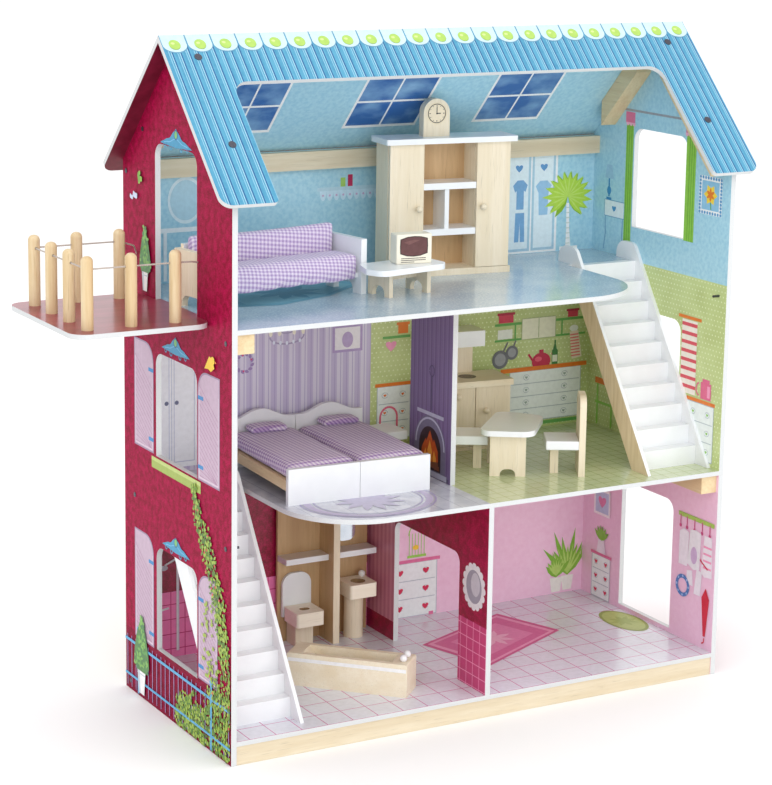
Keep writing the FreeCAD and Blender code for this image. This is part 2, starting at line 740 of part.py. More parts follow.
def kitchen():
    wide, deep, high = S.kitchen_wide, S.kitchen_deep, S.kitchen_high
    frame = spot(356.5, 203.6, S.middle_level, -6)
    top_thick, base_high, side, front, pin = 7, 4, 4, 5.6, 1.0
    inner_high = high - top_thick - base_high
    half = wide / 2
    pins = [(2.8, 2.3), (wide - 2.8, 2.3)]
    base = cut(block(wide, deep, base_high), *[rod(pin + 0.08, 3, x, y, base_high - 2.5) for x, y in pins])
    uprights = [block(side, deep - front - side, inner_high, x, front, base_high)
                for x in (0, half - side / 2, wide - side)]
    rear = block(wide, side, inner_high, 0, deep - side, base_high)
    group("kitchen_cabinet", [base, rear] + uprights, frame)
    worktop = cut(block(wide + 3, deep + 3, top_thick, -1, -3, high - top_thick),
                  *[rod(pin + 0.08, 3, x, y, high - top_thick - 0.5) for x, y in pins])
    group("kitchen_worktop", [worktop], frame)
    riser = block(61, side, S.hood_high - high, 0, deep - side, high)
    hood = block(62, 30, S.hood_high - S.hood_low, 0, deep - side - 30, S.hood_low)
    group("kitchen_hood", [riser, hood], frame)
    door_wide = half - 1
    low, door_high = base_high + 0.5, inner_high - 1
    hung_door("kitchen_door_left", frame, 0.5, door_wide, low, door_high, 20.7, 64, 2.8, pin)
    hung_door("kitchen_door_right", frame, half + 0.5, door_wide, low, door_high, 56, 46, wide - 2.8, pin)


def dining_table():
    """Two panel legs under a top whose rounded outline leans towards the back right."""
    frame = spot(355, 94, S.middle_level, -29)
    thick = 6
    leg_high = S.table_high - thick
    legs = [arched_leg(6, 39, leg_high, 17, 8, 0, y, 0, "XZ") for y in (0, 56)]
    group("dining_table_legs", legs, frame)
    wide, long = S.table_wide, S.table_long
    corners = [(0, 4), (wide, 0), (wide + 17, long - 18), (wide - 34, long + 3)]
    top = panel("XY", thick, corners, rounds=[(12, corners[:1]), (15, corners[1:3]), (12, corners[3:])])
    group("dining_table_top", [move(top, -14, -14, leg_high)], frame)


def chair(label, frame, wide, level, backed=True):
    """A seat on a round-cornered leg; the back board, where there is one, reaches the floor."""
    seat_thick, leg_wide, leg_deep = 10, 9, 12
    seat = softened(block(wide, S.seat_deep, seat_thick, 0, 0, level - seat_thick), 1.2)
    pieces = [seat, block(leg_wide, leg_deep, level - seat_thick, 6, 15)]
    if backed:
        outline = rectangle(0, 0, S.seat_deep, S.chair_high)
        pieces.append(move(panel("YZ", 7, outline, rounds=[(12, outline[2:])]), wide, 0, 0))
    else:
        pieces.append(block(leg_wide, leg_deep, level - seat_thick, wide - 15, 15))
    group(label, pieces, frame)


def chairs():
    chair("chair_right", spot(408.7, 65.7, S.middle_level, -29), S.seat_wide, S.seat_level)
    chair("chair_left", spot(383.3, 148, S.middle_level, 151), S.seat_wide, S.seat_level)
    chair("bedside_stool", spot(283, 196, S.middle_level, 0), S.seat_wide - 8, S.stool_level, backed=False)


# ---------------------------------------------------------------- the bathroom

def bath_unit():
    """A back and a centre board, with a shelf on each side of it, a toilet, a washbasin and a mirror."""
    frame = spot(178, 218, S.rail_high + S.board)
    wide, deep, high = S.bath_wide, S.bath_deep, S.bath_high
    shelf_wide, board = 53, 8
    rear = block(wide, 4, high, 0, deep - 4)
    centre = block(board, deep - 4, high, shelf_wide, 0)
    group("bath_boards", [rear, centre], frame)
    shelf_low, shelf_deep, shelf_thick = 95, 22, 6.5
    shelves = [block(shelf_wide, shelf_deep, shelf_thick, x, deep - 4 - shelf_deep, shelf_low)
               for x in (0, shelf_wide + board)]
    group("bath_shelves", shelves, frame)

    side, thick = 34, 16
    seat = softened_sides(side, side, thick, 3)
    flush_hole = move(softened_sides(12, 8, 20, 3.9), 11, 12, 9)
    bowl = move(cut(seat, flush_hole), 5, -6, 27)
    foot = block(22, 22, 27, 11, 10)
    group("toilet", [bowl, foot], frame)
    lid = panel("XZ", 4, rectangle(0, 0, 36, 50), rounds=[(14, [(0, 50), (36, 50)])], flip=True)
    group("toilet_lid", [move(lid, 4, 29, 30)], frame)

    sink_low = 50.5
    sink = move(cut(softened_sides(side, side, thick, 3), rod(8.5, 20, 17, 15, 8)), 72, -6, sink_low)
    group("washbasin", [sink, rod(11, sink_low, 88, 17, 0)], frame)
    group("washbasin_tap", [ball(4, 101, 22, sink_low + thick + 3.4)], frame)
    corners = rectangle(0, 0, 24, 44)
    mirror = panel("XZ", 5, corners, rounds=[(9, corners)], flip=True)
    group("bath_mirror", [move(mirror, 71.5, 29, 109)], frame)


def softened_sides(wide, deep, high, radius):
    corners = rectangle(0, 0, wide, deep)
    return panel("XY", high, corners, rounds=[(radius, corners)])


def tub():
    """A block with a hollow whose head end slopes more than its foot end."""
    frame = spot(125.6, 125.5, S.rail_high + S.board, -45.4)
    long, wide, high = S.tub_long, S.tub_wide, S.tub_high
    rim, floor = 6, 9
    outline = rectangle(0, 0, long, high)
    side = panel("XZ", wide, outline, rounds=[(2, outline[2:])], flip=True)
    low = [(34, 0), (long - 24, 0)]
    hollow = panel("XZ", wide - 2 * rim, low + [(long - 16, high), (10, high)], rounds=[(8, low)], flip=True)
    move(hollow, 0, rim, floor)
    group("bathtub", [cut(side, hollow)], frame)
    balls = [ball(4, 126, y, number(high) + 3.6) for y in (11, 26)]
    group("bathtub_taps", balls, frame)


# ---------------------------------------------------------------- build and export

side_walls()
back_panels()
floors()
partitions()
rails_and_battens()
roof()
stairs("lower_stair", S.wall, BASE_LEVEL, S.middle_level)
stairs("upper_stair", RIGHT_INSIDE - S.stair_wide, S.middle_level, S.attic_level)
balcony()
screws()
sofa()
tv_table()
wardrobe()
beds()
kitchen()
dining_table()
chairs()
bath_unit()
tub()
doc.recompute()

for thing in doc.Objects:
    faults = [word for word in ("Invalid", "Error") if word in thing.State]
    if faults:
        raise RuntimeError(f"{thing.Name} ({thing.Label}): {thing.State}")
for thing in nodes:
    if thing.Shape.isNull() or not thing.Shape.isValid() or not thing.Shape.Solids:
        raise RuntimeError(f"{thing.Label} has no valid shape")

os.makedirs("parts", exist_ok=True)
for thing in nodes:
    thing.Shape.exportStep(os.path.join("parts", thing.Label + ".step"))

whole = FreeCAD.BoundBox()
for thing in nodes:
    whole.add(thing.Shape.BoundBox)
print(f"{len(nodes)} nodes, box {whole.XMin:.2f}..{whole.XMax:.2f}, {whole.YMin:.2f}..{whole.YMax:.2f}, "
      f"{whole.ZMin:.2f}..{whole.ZMax:.2f} mm")
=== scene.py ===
import random
from math import cos, degrees, hypot, pi, radians, sin, sqrt

import bpy
from mathutils import Matrix, Vector


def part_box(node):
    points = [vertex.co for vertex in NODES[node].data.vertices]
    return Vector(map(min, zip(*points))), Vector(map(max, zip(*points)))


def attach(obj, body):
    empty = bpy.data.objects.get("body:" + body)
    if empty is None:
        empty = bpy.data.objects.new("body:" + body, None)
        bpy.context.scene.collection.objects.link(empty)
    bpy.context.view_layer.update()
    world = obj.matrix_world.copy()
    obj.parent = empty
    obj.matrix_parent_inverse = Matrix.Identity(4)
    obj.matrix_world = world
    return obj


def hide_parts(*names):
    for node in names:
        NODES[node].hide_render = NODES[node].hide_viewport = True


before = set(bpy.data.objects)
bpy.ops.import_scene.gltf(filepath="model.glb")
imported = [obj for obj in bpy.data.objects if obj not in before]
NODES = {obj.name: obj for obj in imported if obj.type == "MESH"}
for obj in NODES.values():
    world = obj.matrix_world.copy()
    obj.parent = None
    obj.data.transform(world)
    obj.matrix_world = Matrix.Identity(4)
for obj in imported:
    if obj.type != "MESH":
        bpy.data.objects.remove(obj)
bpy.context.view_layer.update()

MM = 0.001

# House coordinates in millimetres: x from the left wall's outer face, y from the walls' front edges, z up.
CORNER = Vector(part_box("left_wall")[0])


def at(x, y, z):
    """A point of the house, in metres, in the part's frame."""
    return CORNER + Vector((x, y, z)) * MM


def low(node):
    return (Vector(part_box(node)[0]) - CORNER) / MM


def high(node):
    return (Vector(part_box(node)[1]) - CORNER) / MM


WALL = high("left_wall").x
WIDTH = high("right_wall").x
DEPTH = high("left_wall").y
INNER_BACK = low("back_panel_middle").y
RIGHT_INNER = low("right_wall").x
GROUND = high("base_floor").z
MIDDLE = high("middle_floor").z
ATTIC = high("attic_floor").z
RIDGE = high("roof_front").z
RIDGE_Y = DEPTH / 2
EPS = 0.12          # how far a print stands off its board, in millimetres
STEP = 0.0025       # how far each later shape of a print lies over the one before
CYCLE = 24          # after this many shapes of one ink the steps begin again
BOARD_EDGE = 0.6    # how far leaves stay from a board's edge
SEED = 7
PAPER = {"rough": 0.4, "coat": 0.15}        # how a printed board shines


# ---------------------------------------------------------------- procedural paints

def linear(colour):
    """A display colour, in percent of red, green and blue, as the shader's linear one."""
    shares = [c / 100 for c in colour]
    return (*[c / 12.92 if c <= 0.04045 else ((c + 0.055) / 1.055) ** 2.4 for c in shares], 1.0)


class Paint:
    """A procedural material. Its textures are in house millimetres, and stay with a moving piece."""

    def __init__(self, name, rough=0.45, coat=0.0, metal=0.0, sheen=0.0, specular=0.5):
        self.material = bpy.data.materials.new(name)
        self.material.use_nodes = True
        self.tree = self.material.node_tree
        self.shader = self.tree.nodes["Principled BSDF"]
        looks = {"Roughness": rough, "Metallic": metal, "Coat Weight": coat, "Coat Roughness": 0.12,
                 "Sheen Weight": sheen, "Specular IOR Level": specular}
        for socket, value in looks.items():
            self.shader.inputs[socket].default_value = value
        coordinates = self.tree.nodes.new("ShaderNodeTexCoord")
        mapping = self.tree.nodes.new("ShaderNodeMapping")
        mapping.inputs["Location"].default_value = -CORNER / MM
        mapping.inputs["Scale"].default_value = (1 / MM, 1 / MM, 1 / MM)
        self.tree.links.new(coordinates.outputs["Object"], mapping.inputs["Vector"])
        self.place = mapping.outputs["Vector"]
        split = self.tree.nodes.new("ShaderNodeSeparateXYZ")
        self.tree.links.new(self.place, split.inputs[0])
        self.x, self.y, self.z = split.outputs

    def feed(self, socket, value):
        if isinstance(value, bpy.types.NodeSocket):
            self.tree.links.new(value, socket)
        elif isinstance(value, tuple):
            socket.default_value = linear(value)
        else:
            socket.default_value = value

    def math(self, operation, *values):
        node = self.tree.nodes.new("ShaderNodeMath")
        node.operation = operation
        for socket, value in zip(node.inputs, values):
            self.feed(socket, value)
        return node.outputs[0]

    def plus(self, first, second):
        return self.math("ADD", first, second)

    def times(self, first, second):
        return self.math("MULTIPLY", first, second)

    def mix(self, factor, first, second):
        node = self.tree.nodes.new("ShaderNodeMix")
        node.data_type = "RGBA"
        self.feed(node.inputs[0], factor)
        self.feed(node.inputs[6], first)
        self.feed(node.inputs[7], second)
        return node.outputs[2]

    def noise(self, size, detail=3.0, stretch=(1, 1, 1)):
        """Soft patches about size millimetres across, longer along the axes whose stretch is above 1."""
        mapping = self.tree.nodes.new("ShaderNodeMapping")
        mapping.inputs["Scale"].default_value = [1 / (size * s) for s in stretch]
        self.tree.links.new(self.place, mapping.inputs["Vector"])
        node = self.tree.nodes.new("ShaderNodeTexNoise")
        node.inputs["Scale"].default_value = 1.0
        node.inputs["Detail"].default_value = detail
        self.tree.links.new(mapping.outputs["Vector"], node.inputs["Vector"])
        return node.outputs[0]

    def sharpen(self, factor, low, high):
        """Spreads the part of a factor between low and high over 0 to 1."""
        node = self.tree.nodes.new("ShaderNodeMapRange")
        self.feed(node.inputs[0], factor)
        node.inputs[1].default_value = low
        node.inputs[2].default_value = high
        return node.outputs[0]

    def above(self, value, edge):
        return self.math("GREATER_THAN", value, edge)

    def share(self, value, period):
        """How far a coordinate is through its period, from 0 to 1."""
        return self.math("FRACT", self.math("DIVIDE", value, period))

    def lines(self, value, period, part):
        """1 on lines that take up a part of each period."""
        return self.math("LESS_THAN", self.share(value, period), part)

    def either(self, first, second):
        return self.math("MAXIMUM", first, second)

    def dots(self, across, up, period, radius):
        """1 on round dots set in staggered rows."""
        half = self.times(self.lines(up, period * 2, 0.5), period / 2)
        a = self.math("SUBTRACT", self.share(self.plus(across, half), period), 0.5)
        b = self.math("SUBTRACT", self.share(up, period), 0.5)
        far = self.plus(self.times(a, a), self.times(b, b))
        return self.math("LESS_THAN", far, (radius / period) ** 2)

    def patches(self, size, detail, low, high, first, second):
        """Two colours in patches about size millimetres across; low and high set how hard their edges are."""
        return self.mix(self.sharpen(self.noise(size, detail), low, high), first, second)

    def done(self, colour, relief=None, distance=0.15, strength=0.6):
        """Takes the colour and, if there is one, a relief some millimetres deep, and gives the material."""
        self.feed(self.shader.inputs["Base Color"], colour)
        if relief is not None:
            node = self.tree.nodes.new("ShaderNodeBump")
            node.inputs["Distance"].default_value = distance * MM
            node.inputs["Strength"].default_value = strength
            self.tree.links.new(relief, node.inputs["Height"])
            self.tree.links.new(node.outputs[0], self.shader.inputs["Normal"])
        return self.material

    def papered(self, colour):
        """The material of a printed paper's face, with its faint relief."""
        return self.done(colour, self.noise(2.2, 3.0), 0.03, 0.3)


INKS = {}
SKY = (30, 52, 72)          # the ink that is drawn with clouds
GRAIN_DEPTH = 2             # how far an ink's colour wanders each way, in percent


def tint(colour):
    """One ink of a print: a colour with a faint printed grain. Each ink is made once."""
    key = "ink_" + "_".join(f"{c:02d}" for c in colour)
    if key not in INKS:
        paint = Paint(key, rough=0.45, coat=0.08)
        darker = tuple(max(0, c - GRAIN_DEPTH) for c in colour)
        lighter = tuple(min(100, c + GRAIN_DEPTH) for c in colour)
        grain = paint.noise(5.0, 4.0)
        if colour == SKY:
            grain = paint.math("SUBTRACT", paint.noise(26, 6.0, (1.6, 1, 1)), 0.12)
            darker, lighter = (20, 40, 66), (58, 75, 88)
        INKS[key] = paint.done(paint.mix(paint.sharpen(grain, 0.3, 0.7), darker, lighter), grain, 0.03, 0.3)
    return INKS[key]


def crimson_colour(paint):
    """Wallpaper-like crimson in patches of three depths."""
    broad = paint.sharpen(paint.noise(7, 3.0), 0.38, 0.62)
    fine = paint.sharpen(paint.noise(1.5, 3.0), 0.36, 0.64)
    return paint.mix(fine, paint.mix(broad, (46, 0, 14), (57, 0, 20)),
                     paint.mix(broad, (60, 0, 22), (73, 3, 31)))


def sky_colour(paint):
    """Pale blue wall with a faint cloudy print."""
    return paint.patches(4.5, 5.0, 0.38, 0.62, (62, 81, 89), (70, 86, 92))


def lilac_colour(paint, along):
    wide = paint.lines(along, 15.0, 0.5)
    thin = paint.lines(paint.plus(along, 3.2), 7.5, 0.12)
    base = paint.mix(wide, (78, 74, 86), (86, 84, 91))
    return paint.mix(thin, base, (70, 65, 81))


def green_colour(paint, along):
    dots = paint.dots(along, paint.z, 5.6, 0.9)
    base = paint.patches(30, 2.0, 0.3, 0.7, (73, 79, 51), (79, 85, 59))
    return paint.mix(dots, base, (88, 92, 74))


def pink_colour(paint):
    return paint.patches(6, 4.0, 0.30, 0.70, (94, 77, 87), (96, 81, 90))


def tile_colour(paint, across, along, period, part, face, grout):
    seams = paint.either(paint.lines(across, period, part), paint.lines(along, period, part))
    shade = tuple(c * 0.955 for c in face)
    return paint.mix(seams, paint.patches(6, 4.0, 0.3, 0.7, shade, face), grout)


def crimson():
    """The side walls' outer print, darker below the fence."""
    paint = Paint("print_crimson", rough=0.55, specular=0.12)
    low_band = paint.mix(0.35, crimson_colour(paint), (30, 0, 9))
    walls = paint.mix(paint.above(paint.z, 70), low_band, crimson_colour(paint))
    return paint.done(walls, paint.noise(2.2, 3.0), 0.05, 0.4)


def side_inside(name, ground, middle):
    """A side wall's inner print: one colour on each floor."""
    paint = Paint(name, **PAPER)
    lower = paint.mix(paint.above(paint.z, MIDDLE - 2), ground(paint), middle(paint, paint.y))
    return paint.papered(paint.mix(paint.above(paint.z, ATTIC - 2), lower, sky_colour(paint)))


def plain(name, colour, **look):
    """A board printed in one colour all over."""
    paint = Paint(name, **look)
    return paint.done(colour(paint))


def attic_back():
    paint = Paint("print_attic_back", **PAPER)
    return paint.papered(sky_colour(paint))


def middle_back(split):
    paint = Paint("print_middle_back", **PAPER)
    both = paint.mix(paint.above(paint.x, split), lilac_colour(paint, paint.x), green_colour(paint, paint.x))
    return paint.papered(both)


def ground_back(split):
    paint = Paint("print_ground_back", **PAPER)
    tiles = tile_colour(paint, paint.x, paint.z, 17, 0.06, (100, 52, 76), (80, 16, 42))
    bath = paint.mix(paint.above(paint.z, GROUND + 75), tiles, crimson_colour(paint))
    both = paint.mix(paint.above(paint.x, split), bath, pink_colour(paint))
    return paint.papered(both)


def partition_ground_print():
    paint = Paint("print_partition_ground", **PAPER)
    tiles = tile_colour(paint, paint.y, paint.z, 13, 0.07, (80, 24, 47), (93, 60, 74))
    front = paint.mix(paint.above(paint.z, GROUND + 73), tiles, crimson_colour(paint))
    stripes = paint.mix(paint.lines(paint.y, 9, 0.5), (82, 54, 62), (76, 44, 54))
    low = paint.mix(paint.above(paint.z, GROUND + 22), crimson_colour(paint), stripes)
    return paint.done(paint.mix(paint.above(paint.y, 197), front, low))


def partition_middle_print():
    paint = Paint("print_partition_middle", rough=0.35, coat=0.2)
    stripes = paint.lines(paint.y, 9.0, 0.5)
    thin = paint.lines(paint.plus(paint.y, 2.0), 4.5, 0.14)
    base = paint.mix(stripes, (44, 36, 53), (50, 42, 59))
    return paint.done(paint.mix(thin, base, (35, 28, 44)))


def attic_floor_print():
    paint = Paint("print_attic_floor", rough=0.24, coat=0.5)
    base = paint.patches(40, 3.0, 0.35, 0.65, (62, 70, 77), (69, 76, 81))
    return paint.done(paint.patches(2.4, 3.0, 0.5, 0.7, base, (78, 85, 88)))


def middle_floor_print(split):
    paint = Paint("print_middle_floor", rough=0.24, coat=0.5)
    plain = paint.patches(16, 4.0, 0.35, 0.65, (74, 75, 81), (84, 85, 89))
    plain = paint.mix(paint.lines(paint.x, 22, 0.04), plain, (66, 67, 75))
    tiles = tile_colour(paint, paint.x, paint.y, 15.5, 0.07, (79, 83, 66), (64, 70, 48))
    return paint.done(paint.mix(paint.above(paint.x, split), plain, tiles))


def base_floor_print():
    paint = Paint("print_base_floor", rough=0.26, coat=0.45)
    turned = paint.plus(paint.x, 9.0)
    return paint.done(tile_colour(paint, turned, paint.y, 29.5, 0.035, (89, 90, 94), (78, 40, 62)))


def roof_print():
    """Thin white and blue lines that run down the slope, on a mottled blue."""
    paint = Paint("print_roof", rough=0.42, coat=0.08, specular=0.3)
    uneven = paint.sharpen(paint.noise(3, 2.0, (1, 60, 60)), 0.4, 0.6)
    cloud = paint.sharpen(paint.noise(5, 4.0), 0.35, 0.65)
    base = paint.mix(uneven, (25, 55, 69), (31, 61, 74))
    base = paint.mix(paint.times(cloud, 0.4), base, (37, 65, 77))
    pale = paint.lines(paint.plus(paint.x, 4.6), 9.2, 0.09)
    white_line = paint.lines(paint.plus(paint.x, 2.2), 9.2, 0.07)
    dark = paint.lines(paint.plus(paint.x, 1.1), 9.2, 0.13)
    base = paint.mix(pale, base, (55, 75, 83))
    base = paint.mix(white_line, base, (70, 82, 87))
    return paint.done(paint.mix(dark, base, (11, 34, 55)))


def roof_inside():
    paint = Paint("print_roof_inside", **PAPER)
    outside = paint.either(paint.above(0.0, paint.x), paint.above(paint.x, WIDTH))
    outside = paint.either(outside, paint.above(paint.y, DEPTH))
    return paint.done(paint.mix(outside, sky_colour(paint), plum_colour(paint)))


def plum_colour(paint):
    return paint.patches(12, 3.0, 0.35, 0.65, (40, 6, 16), (48, 10, 21))


def balcony_top():
    paint = Paint("print_balcony", rough=0.3, coat=0.25, specular=0.35)
    seams = paint.lines(paint.y, 23, 0.035)
    patch = paint.sharpen(paint.noise(30, 3.0, (3, 1, 1)), 0.35, 0.65)
    base = paint.mix(patch, (50, 15, 22), (61, 23, 30))
    return paint.done(paint.mix(seams, base, (46, 10, 18)))


def wood(name, pale, deep, along="z", rough=0.5, coat=0.05, period=3.4):
    """Fine straight grain along an axis, with a few broad bands and darker pores."""
    paint = Paint(name, rough=rough, coat=coat)
    stretch = {"x": (14, 1, 1), "y": (1, 14, 1), "z": (1, 1, 14)}[along]
    long_stretch = tuple(s * 2 if s > 1 else 1 for s in stretch)
    grain = paint.noise(period, 4.0, stretch)
    bands = paint.noise(period * 6, 2.0, long_stretch)
    pores = paint.sharpen(paint.noise(0.9, 2.0, long_stretch), 0.62, 0.74)
    middle = tuple((a + b) / 2 for a, b in zip(pale, deep))
    base = paint.mix(paint.sharpen(grain, 0.32, 0.68), middle, pale)
    base = paint.mix(paint.sharpen(bands, 0.45, 0.75), base, deep)
    dark = tuple(c * 0.82 for c in deep)
    strength = paint.times(pores, 0.55)
    return paint.done(paint.mix(strength, base, dark), grain, 0.08, 0.4)


def end_grain():
    """The light sawn edge of a coated board."""
    paint = Paint("board_edge", rough=0.5)
    grain = paint.noise(1.2, 3.0)
    return paint.done(paint.mix(grain, (78, 79, 80), (86, 87, 87)), grain, 0.05, 0.3)


def lacquer(name, colour, rough=0.28, coat=0.4):
    paint = Paint(name, rough=rough, coat=coat)
    cloud = paint.noise(14, 4.0)
    peel = paint.noise(1.8, 2.0)
    shade = tuple(c * 0.965 for c in colour)
    return paint.done(paint.mix(cloud, shade, colour), peel, 0.04, 0.35)


def fibreboard():
    paint = Paint("fibreboard", rough=0.75)
    speck = paint.sharpen(paint.noise(0.8, 2.0), 0.4, 0.62)
    base = paint.patches(20, 4.0, 0.3, 0.7, (72, 60, 44), (78, 66, 50))
    return paint.done(paint.mix(speck, base, (64, 51, 36)), speck, 0.08, 0.4)


def gingham(name, period, white, mid, full, folds_over):
    """Woven checks: bands of coloured yarn both ways, and the weave's own relief."""
    paint = Paint(name, rough=0.9, sheen=0.35)
    across, slant = paint.x, paint.y
    if folds_over == "front":
        slant = paint.plus(paint.y, paint.z)
    else:
        across = paint.plus(paint.x, paint.z)
    first = paint.lines(across, period, 0.5)
    second = paint.lines(slant, period, 0.5)
    checks = paint.times(paint.plus(first, second), 0.5)
    thread = paint.noise(0.7, 2.0)
    base = paint.mix(paint.above(checks, 0.25), white, mid)
    base = paint.mix(paint.above(checks, 0.75), base, full)
    worn = paint.times(paint.sharpen(thread, 0.45, 0.75), 0.35)
    warp = paint.math("SINE", paint.times(across, 9.0))
    weft = paint.math("SINE", paint.times(slant, 9.0))
    relief = paint.times(warp, weft)
    return paint.done(paint.mix(worn, base, white), relief, 0.12, 0.6)


def twisted_cord():
    paint = Paint("twisted_cord", rough=0.75, sheen=0.3)
    around = paint.plus(paint.plus(paint.x, paint.y), paint.times(paint.z, 2.0))
    strand = paint.math("SINE", paint.times(around, 2.6))
    fibre = paint.noise(0.5, 2.0)
    # The colour goes darker in the grooves between the strands, where the relief dips: painted shade.
    base = paint.mix(paint.sharpen(strand, -1.0, 1.0), (64, 59, 55), (88, 84, 80))
    return paint.done(paint.mix(paint.times(fibre, 0.3), base, (70, 62, 57)), strand, 0.3, 0.7)


def dark_steel():
    paint = Paint("dark_steel", rough=0.35, metal=0.9)
    scratch = paint.noise(0.8, 4.0, (1, 6, 1))
    return paint.done(paint.mix(scratch, (20, 20, 23), (42, 42, 46)), scratch, 0.03, 0.4)


def looking_glass():
    paint = Paint("looking_glass", rough=0.08, metal=0.95)
    haze = paint.noise(12, 3.0)
    return paint.done(paint.mix(haze, (74, 78, 82), (88, 90, 93)))


# ---------------------------------------------------------------- camera, floor and light

PHOTO_HEIGHT = 785
FOCAL_PIXELS = 2352.315         # the focal length and pose were solved from the house's straight edges
CAMERA_TURN, CAMERA_RISE, CAMERA_ROLL = radians(-29.51), radians(11.121), radians(0.862)
CAMERA_REACH = 2553.497         # from the eye to the plane through the target, in millimetres
CAMERA_TARGET = Vector((300, 150, 350))
EYE_ASIDE, EYE_UP = -38.581, 57.944
SENSOR = 36.0


def make_camera():
    data = bpy.data.cameras.new("camera")
    data.sensor_width = SENSOR
    data.lens = FOCAL_PIXELS * SENSOR / PHOTO_HEIGHT
    data.shift_y = -0.10
    data.clip_end = 50
    camera = bpy.data.objects.new("camera", data)
    bpy.context.scene.collection.objects.link(camera)
    level = cos(CAMERA_RISE)
    back = Vector((sin(CAMERA_TURN) * level, -cos(CAMERA_TURN) * level, sin(CAMERA_RISE)))
    right = (-back).cross(Vector((0, 0, 1))).normalized()
    up = right.cross(-back)
    rolled_right = right * cos(CAMERA_ROLL) + up * sin(CAMERA_ROLL)
    rolled_up = up * cos(CAMERA_ROLL) - right * sin(CAMERA_ROLL)
    eye = CAMERA_TARGET + back * CAMERA_REACH + rolled_right * EYE_ASIDE + rolled_up * EYE_UP
    basis = Matrix((rolled_right, rolled_up, back)).transposed().to_4x4()
    camera.matrix_world = Matrix.Translation(at(*eye)) @ basis
    bpy.context.scene.camera = camera


LIGHTS = (          # name, place and size in metres, power in watts
    ("key", (-1.2, -2.3, 1.9), 1.6, 13),
    ("fill", (1.9, -2.2, 1.1), 1.8, 8),
    ("low_front", (-0.5, -2.6, 0.35), 1.4, 7),
    ("top", (0.1, -0.6, 2.4), 2.0, 5),
    ("behind", (0.3, 2.4, 1.6), 2.0, 3),
)
LIGHTS_AIM = Vector((0.05, 0.0, 0.32))
FLOOR_SIZE, FLOOR_GAP = 40, 0.0002
SKY_STRENGTH = 1.13


def make_stage():
    bpy.ops.mesh.primitive_plane_add(size=FLOOR_SIZE, location=(0, 0, CORNER.z - FLOOR_GAP))
    floor = bpy.context.object
    floor.name = "studio_floor"
    paint = bpy.data.materials.new("studio_floor")
    paint.use_nodes = True
    shader = paint.node_tree.nodes["Principled BSDF"]
    shader.inputs["Base Color"].default_value = (0.96, 0.96, 0.96, 1)
    shader.inputs["Roughness"].default_value = 0.9
    floor.data.materials.append(paint)
    world = bpy.data.worlds.new("studio")
    world.use_nodes = True
    background = world.node_tree.nodes["Background"].inputs
    background["Color"].default_value = (1.0, 1.0, 1.0, 1)
    background["Strength"].default_value = SKY_STRENGTH
    bpy.context.scene.world = world
    for name, place, size, power in LIGHTS:
        data = bpy.data.lights.new(name, "AREA")
        data.size = size
        data.energy = power
        lamp = bpy.data.objects.new(name, data)
        bpy.context.scene.collection.objects.link(lamp)
        lamp.location = place
        lamp.rotation_euler = (LIGHTS_AIM - Vector(place)).to_track_quat("-Z", "Y").to_euler()
    bpy.context.scene.view_settings.view_transform = "Standard"


# ---------------------------------------------------------------- dressing the CAD nodes

def dress(node, paint, rules=(), bevel=0.0):
    """Gives a CAD node its paint. Faces that pass a rule's test get the rule's paint instead.

    A test takes a face's middle, in house millimetres, and its normal.
    """
    thing = NODES[node]
    mesh = thing.data
    paints = [paint] + [rule[1] for rule in rules]
    mesh.materials.clear()
    for material in paints:
        mesh.materials.append(material)
    for face in mesh.polygons:
        middle = (face.center - CORNER) / MM
        face.material_index = 0
        for index, (test, _) in enumerate(rules, 1):
            if test(middle, face.normal):
                face.material_index = index
    if bevel:
        soft = thing.modifiers.new("soft_edges", "BEVEL")
        soft.width = bevel * MM
        soft.segments = 2
        soft.limit_method = "ANGLE"
        soft.angle_limit = radians(50)


def facing(axis, sign):
    return lambda middle, normal: normal[axis] * sign > 0.9


def turned(x, y, turn):
    """House coordinates to a loose piece's own: a function of a point."""
    angle = radians(turn)

    def local(point):
        dx, dy = point[0] - x, point[1] - y
        return dx * cos(angle) + dy * sin(angle), dy * cos(angle) - dx * sin(angle)

    return local


SOFA = (16.5, 88.7, 8.5)
WARDROBE = (275.5, 183, -6.5)
TELEVISION = (233.5, 92, -7)
BEDS = (105, 84, -2.7)
CHAIR_RIGHT = (408.7, 65.7, -29)
CHAIR_LEFT = (383.3, 148, 151)
TUB = (125.6, 125.5, -45.4)

edge = end_grain()
red = crimson()
bare = fibreboard()
white = lacquer("white_lacquer", (94, 95, 96))
ply = wood("varnished_ply", (93, 88, 79), (88, 82, 70))
ply_across = wood("varnished_ply_across", (95, 91, 82), (91, 85, 73), "x")
pine = wood("pine", (89, 81, 66), (80, 68, 49), "z", period=2.6)
pine_long = wood("pine_long", (88, 83, 73), (82, 75, 62), "x", period=3.0)
pine_deep = wood("pine_deep", (90, 82, 66), (83, 72, 54), "y", period=3.0)
# Darker wood for the inside of the toilet's hole and the basin's bowl: painted shade.
hollow_shade = wood("hollow_shade_wood", (70, 58, 42), (60, 48, 33))
# Darker ply: painted shade on the niche backs of the wardrobe and on the bath unit's boards.
recess_shade = wood("recess_shade_ply", (80, 67, 50), (72, 58, 41))
cream = wood("cream_block", (100, 97, 90), (96, 92, 83), "x")
SPLIT = low("partition_middle").x + 1


def stringer_paint():
    """White lacquer above the attic floor; below it a tan with ply grain, painted shade on the white board's
    side.
    """
    paint = Paint("stringer_side", rough=0.45, coat=0.1)
    grain = paint.noise(3.4, 4.0, (1, 1, 14))
    shaded_side = paint.mix(paint.sharpen(grain, 0.32, 0.68), (84, 76, 62), (91, 84, 72))
    lacquered = paint.mix(paint.noise(14, 4.0), (91, 92, 93), (94, 95, 96))
    return paint.done(paint.mix(paint.above(paint.z, ATTIC - 5), shaded_side, lacquered), grain, 0.05, 0.3)


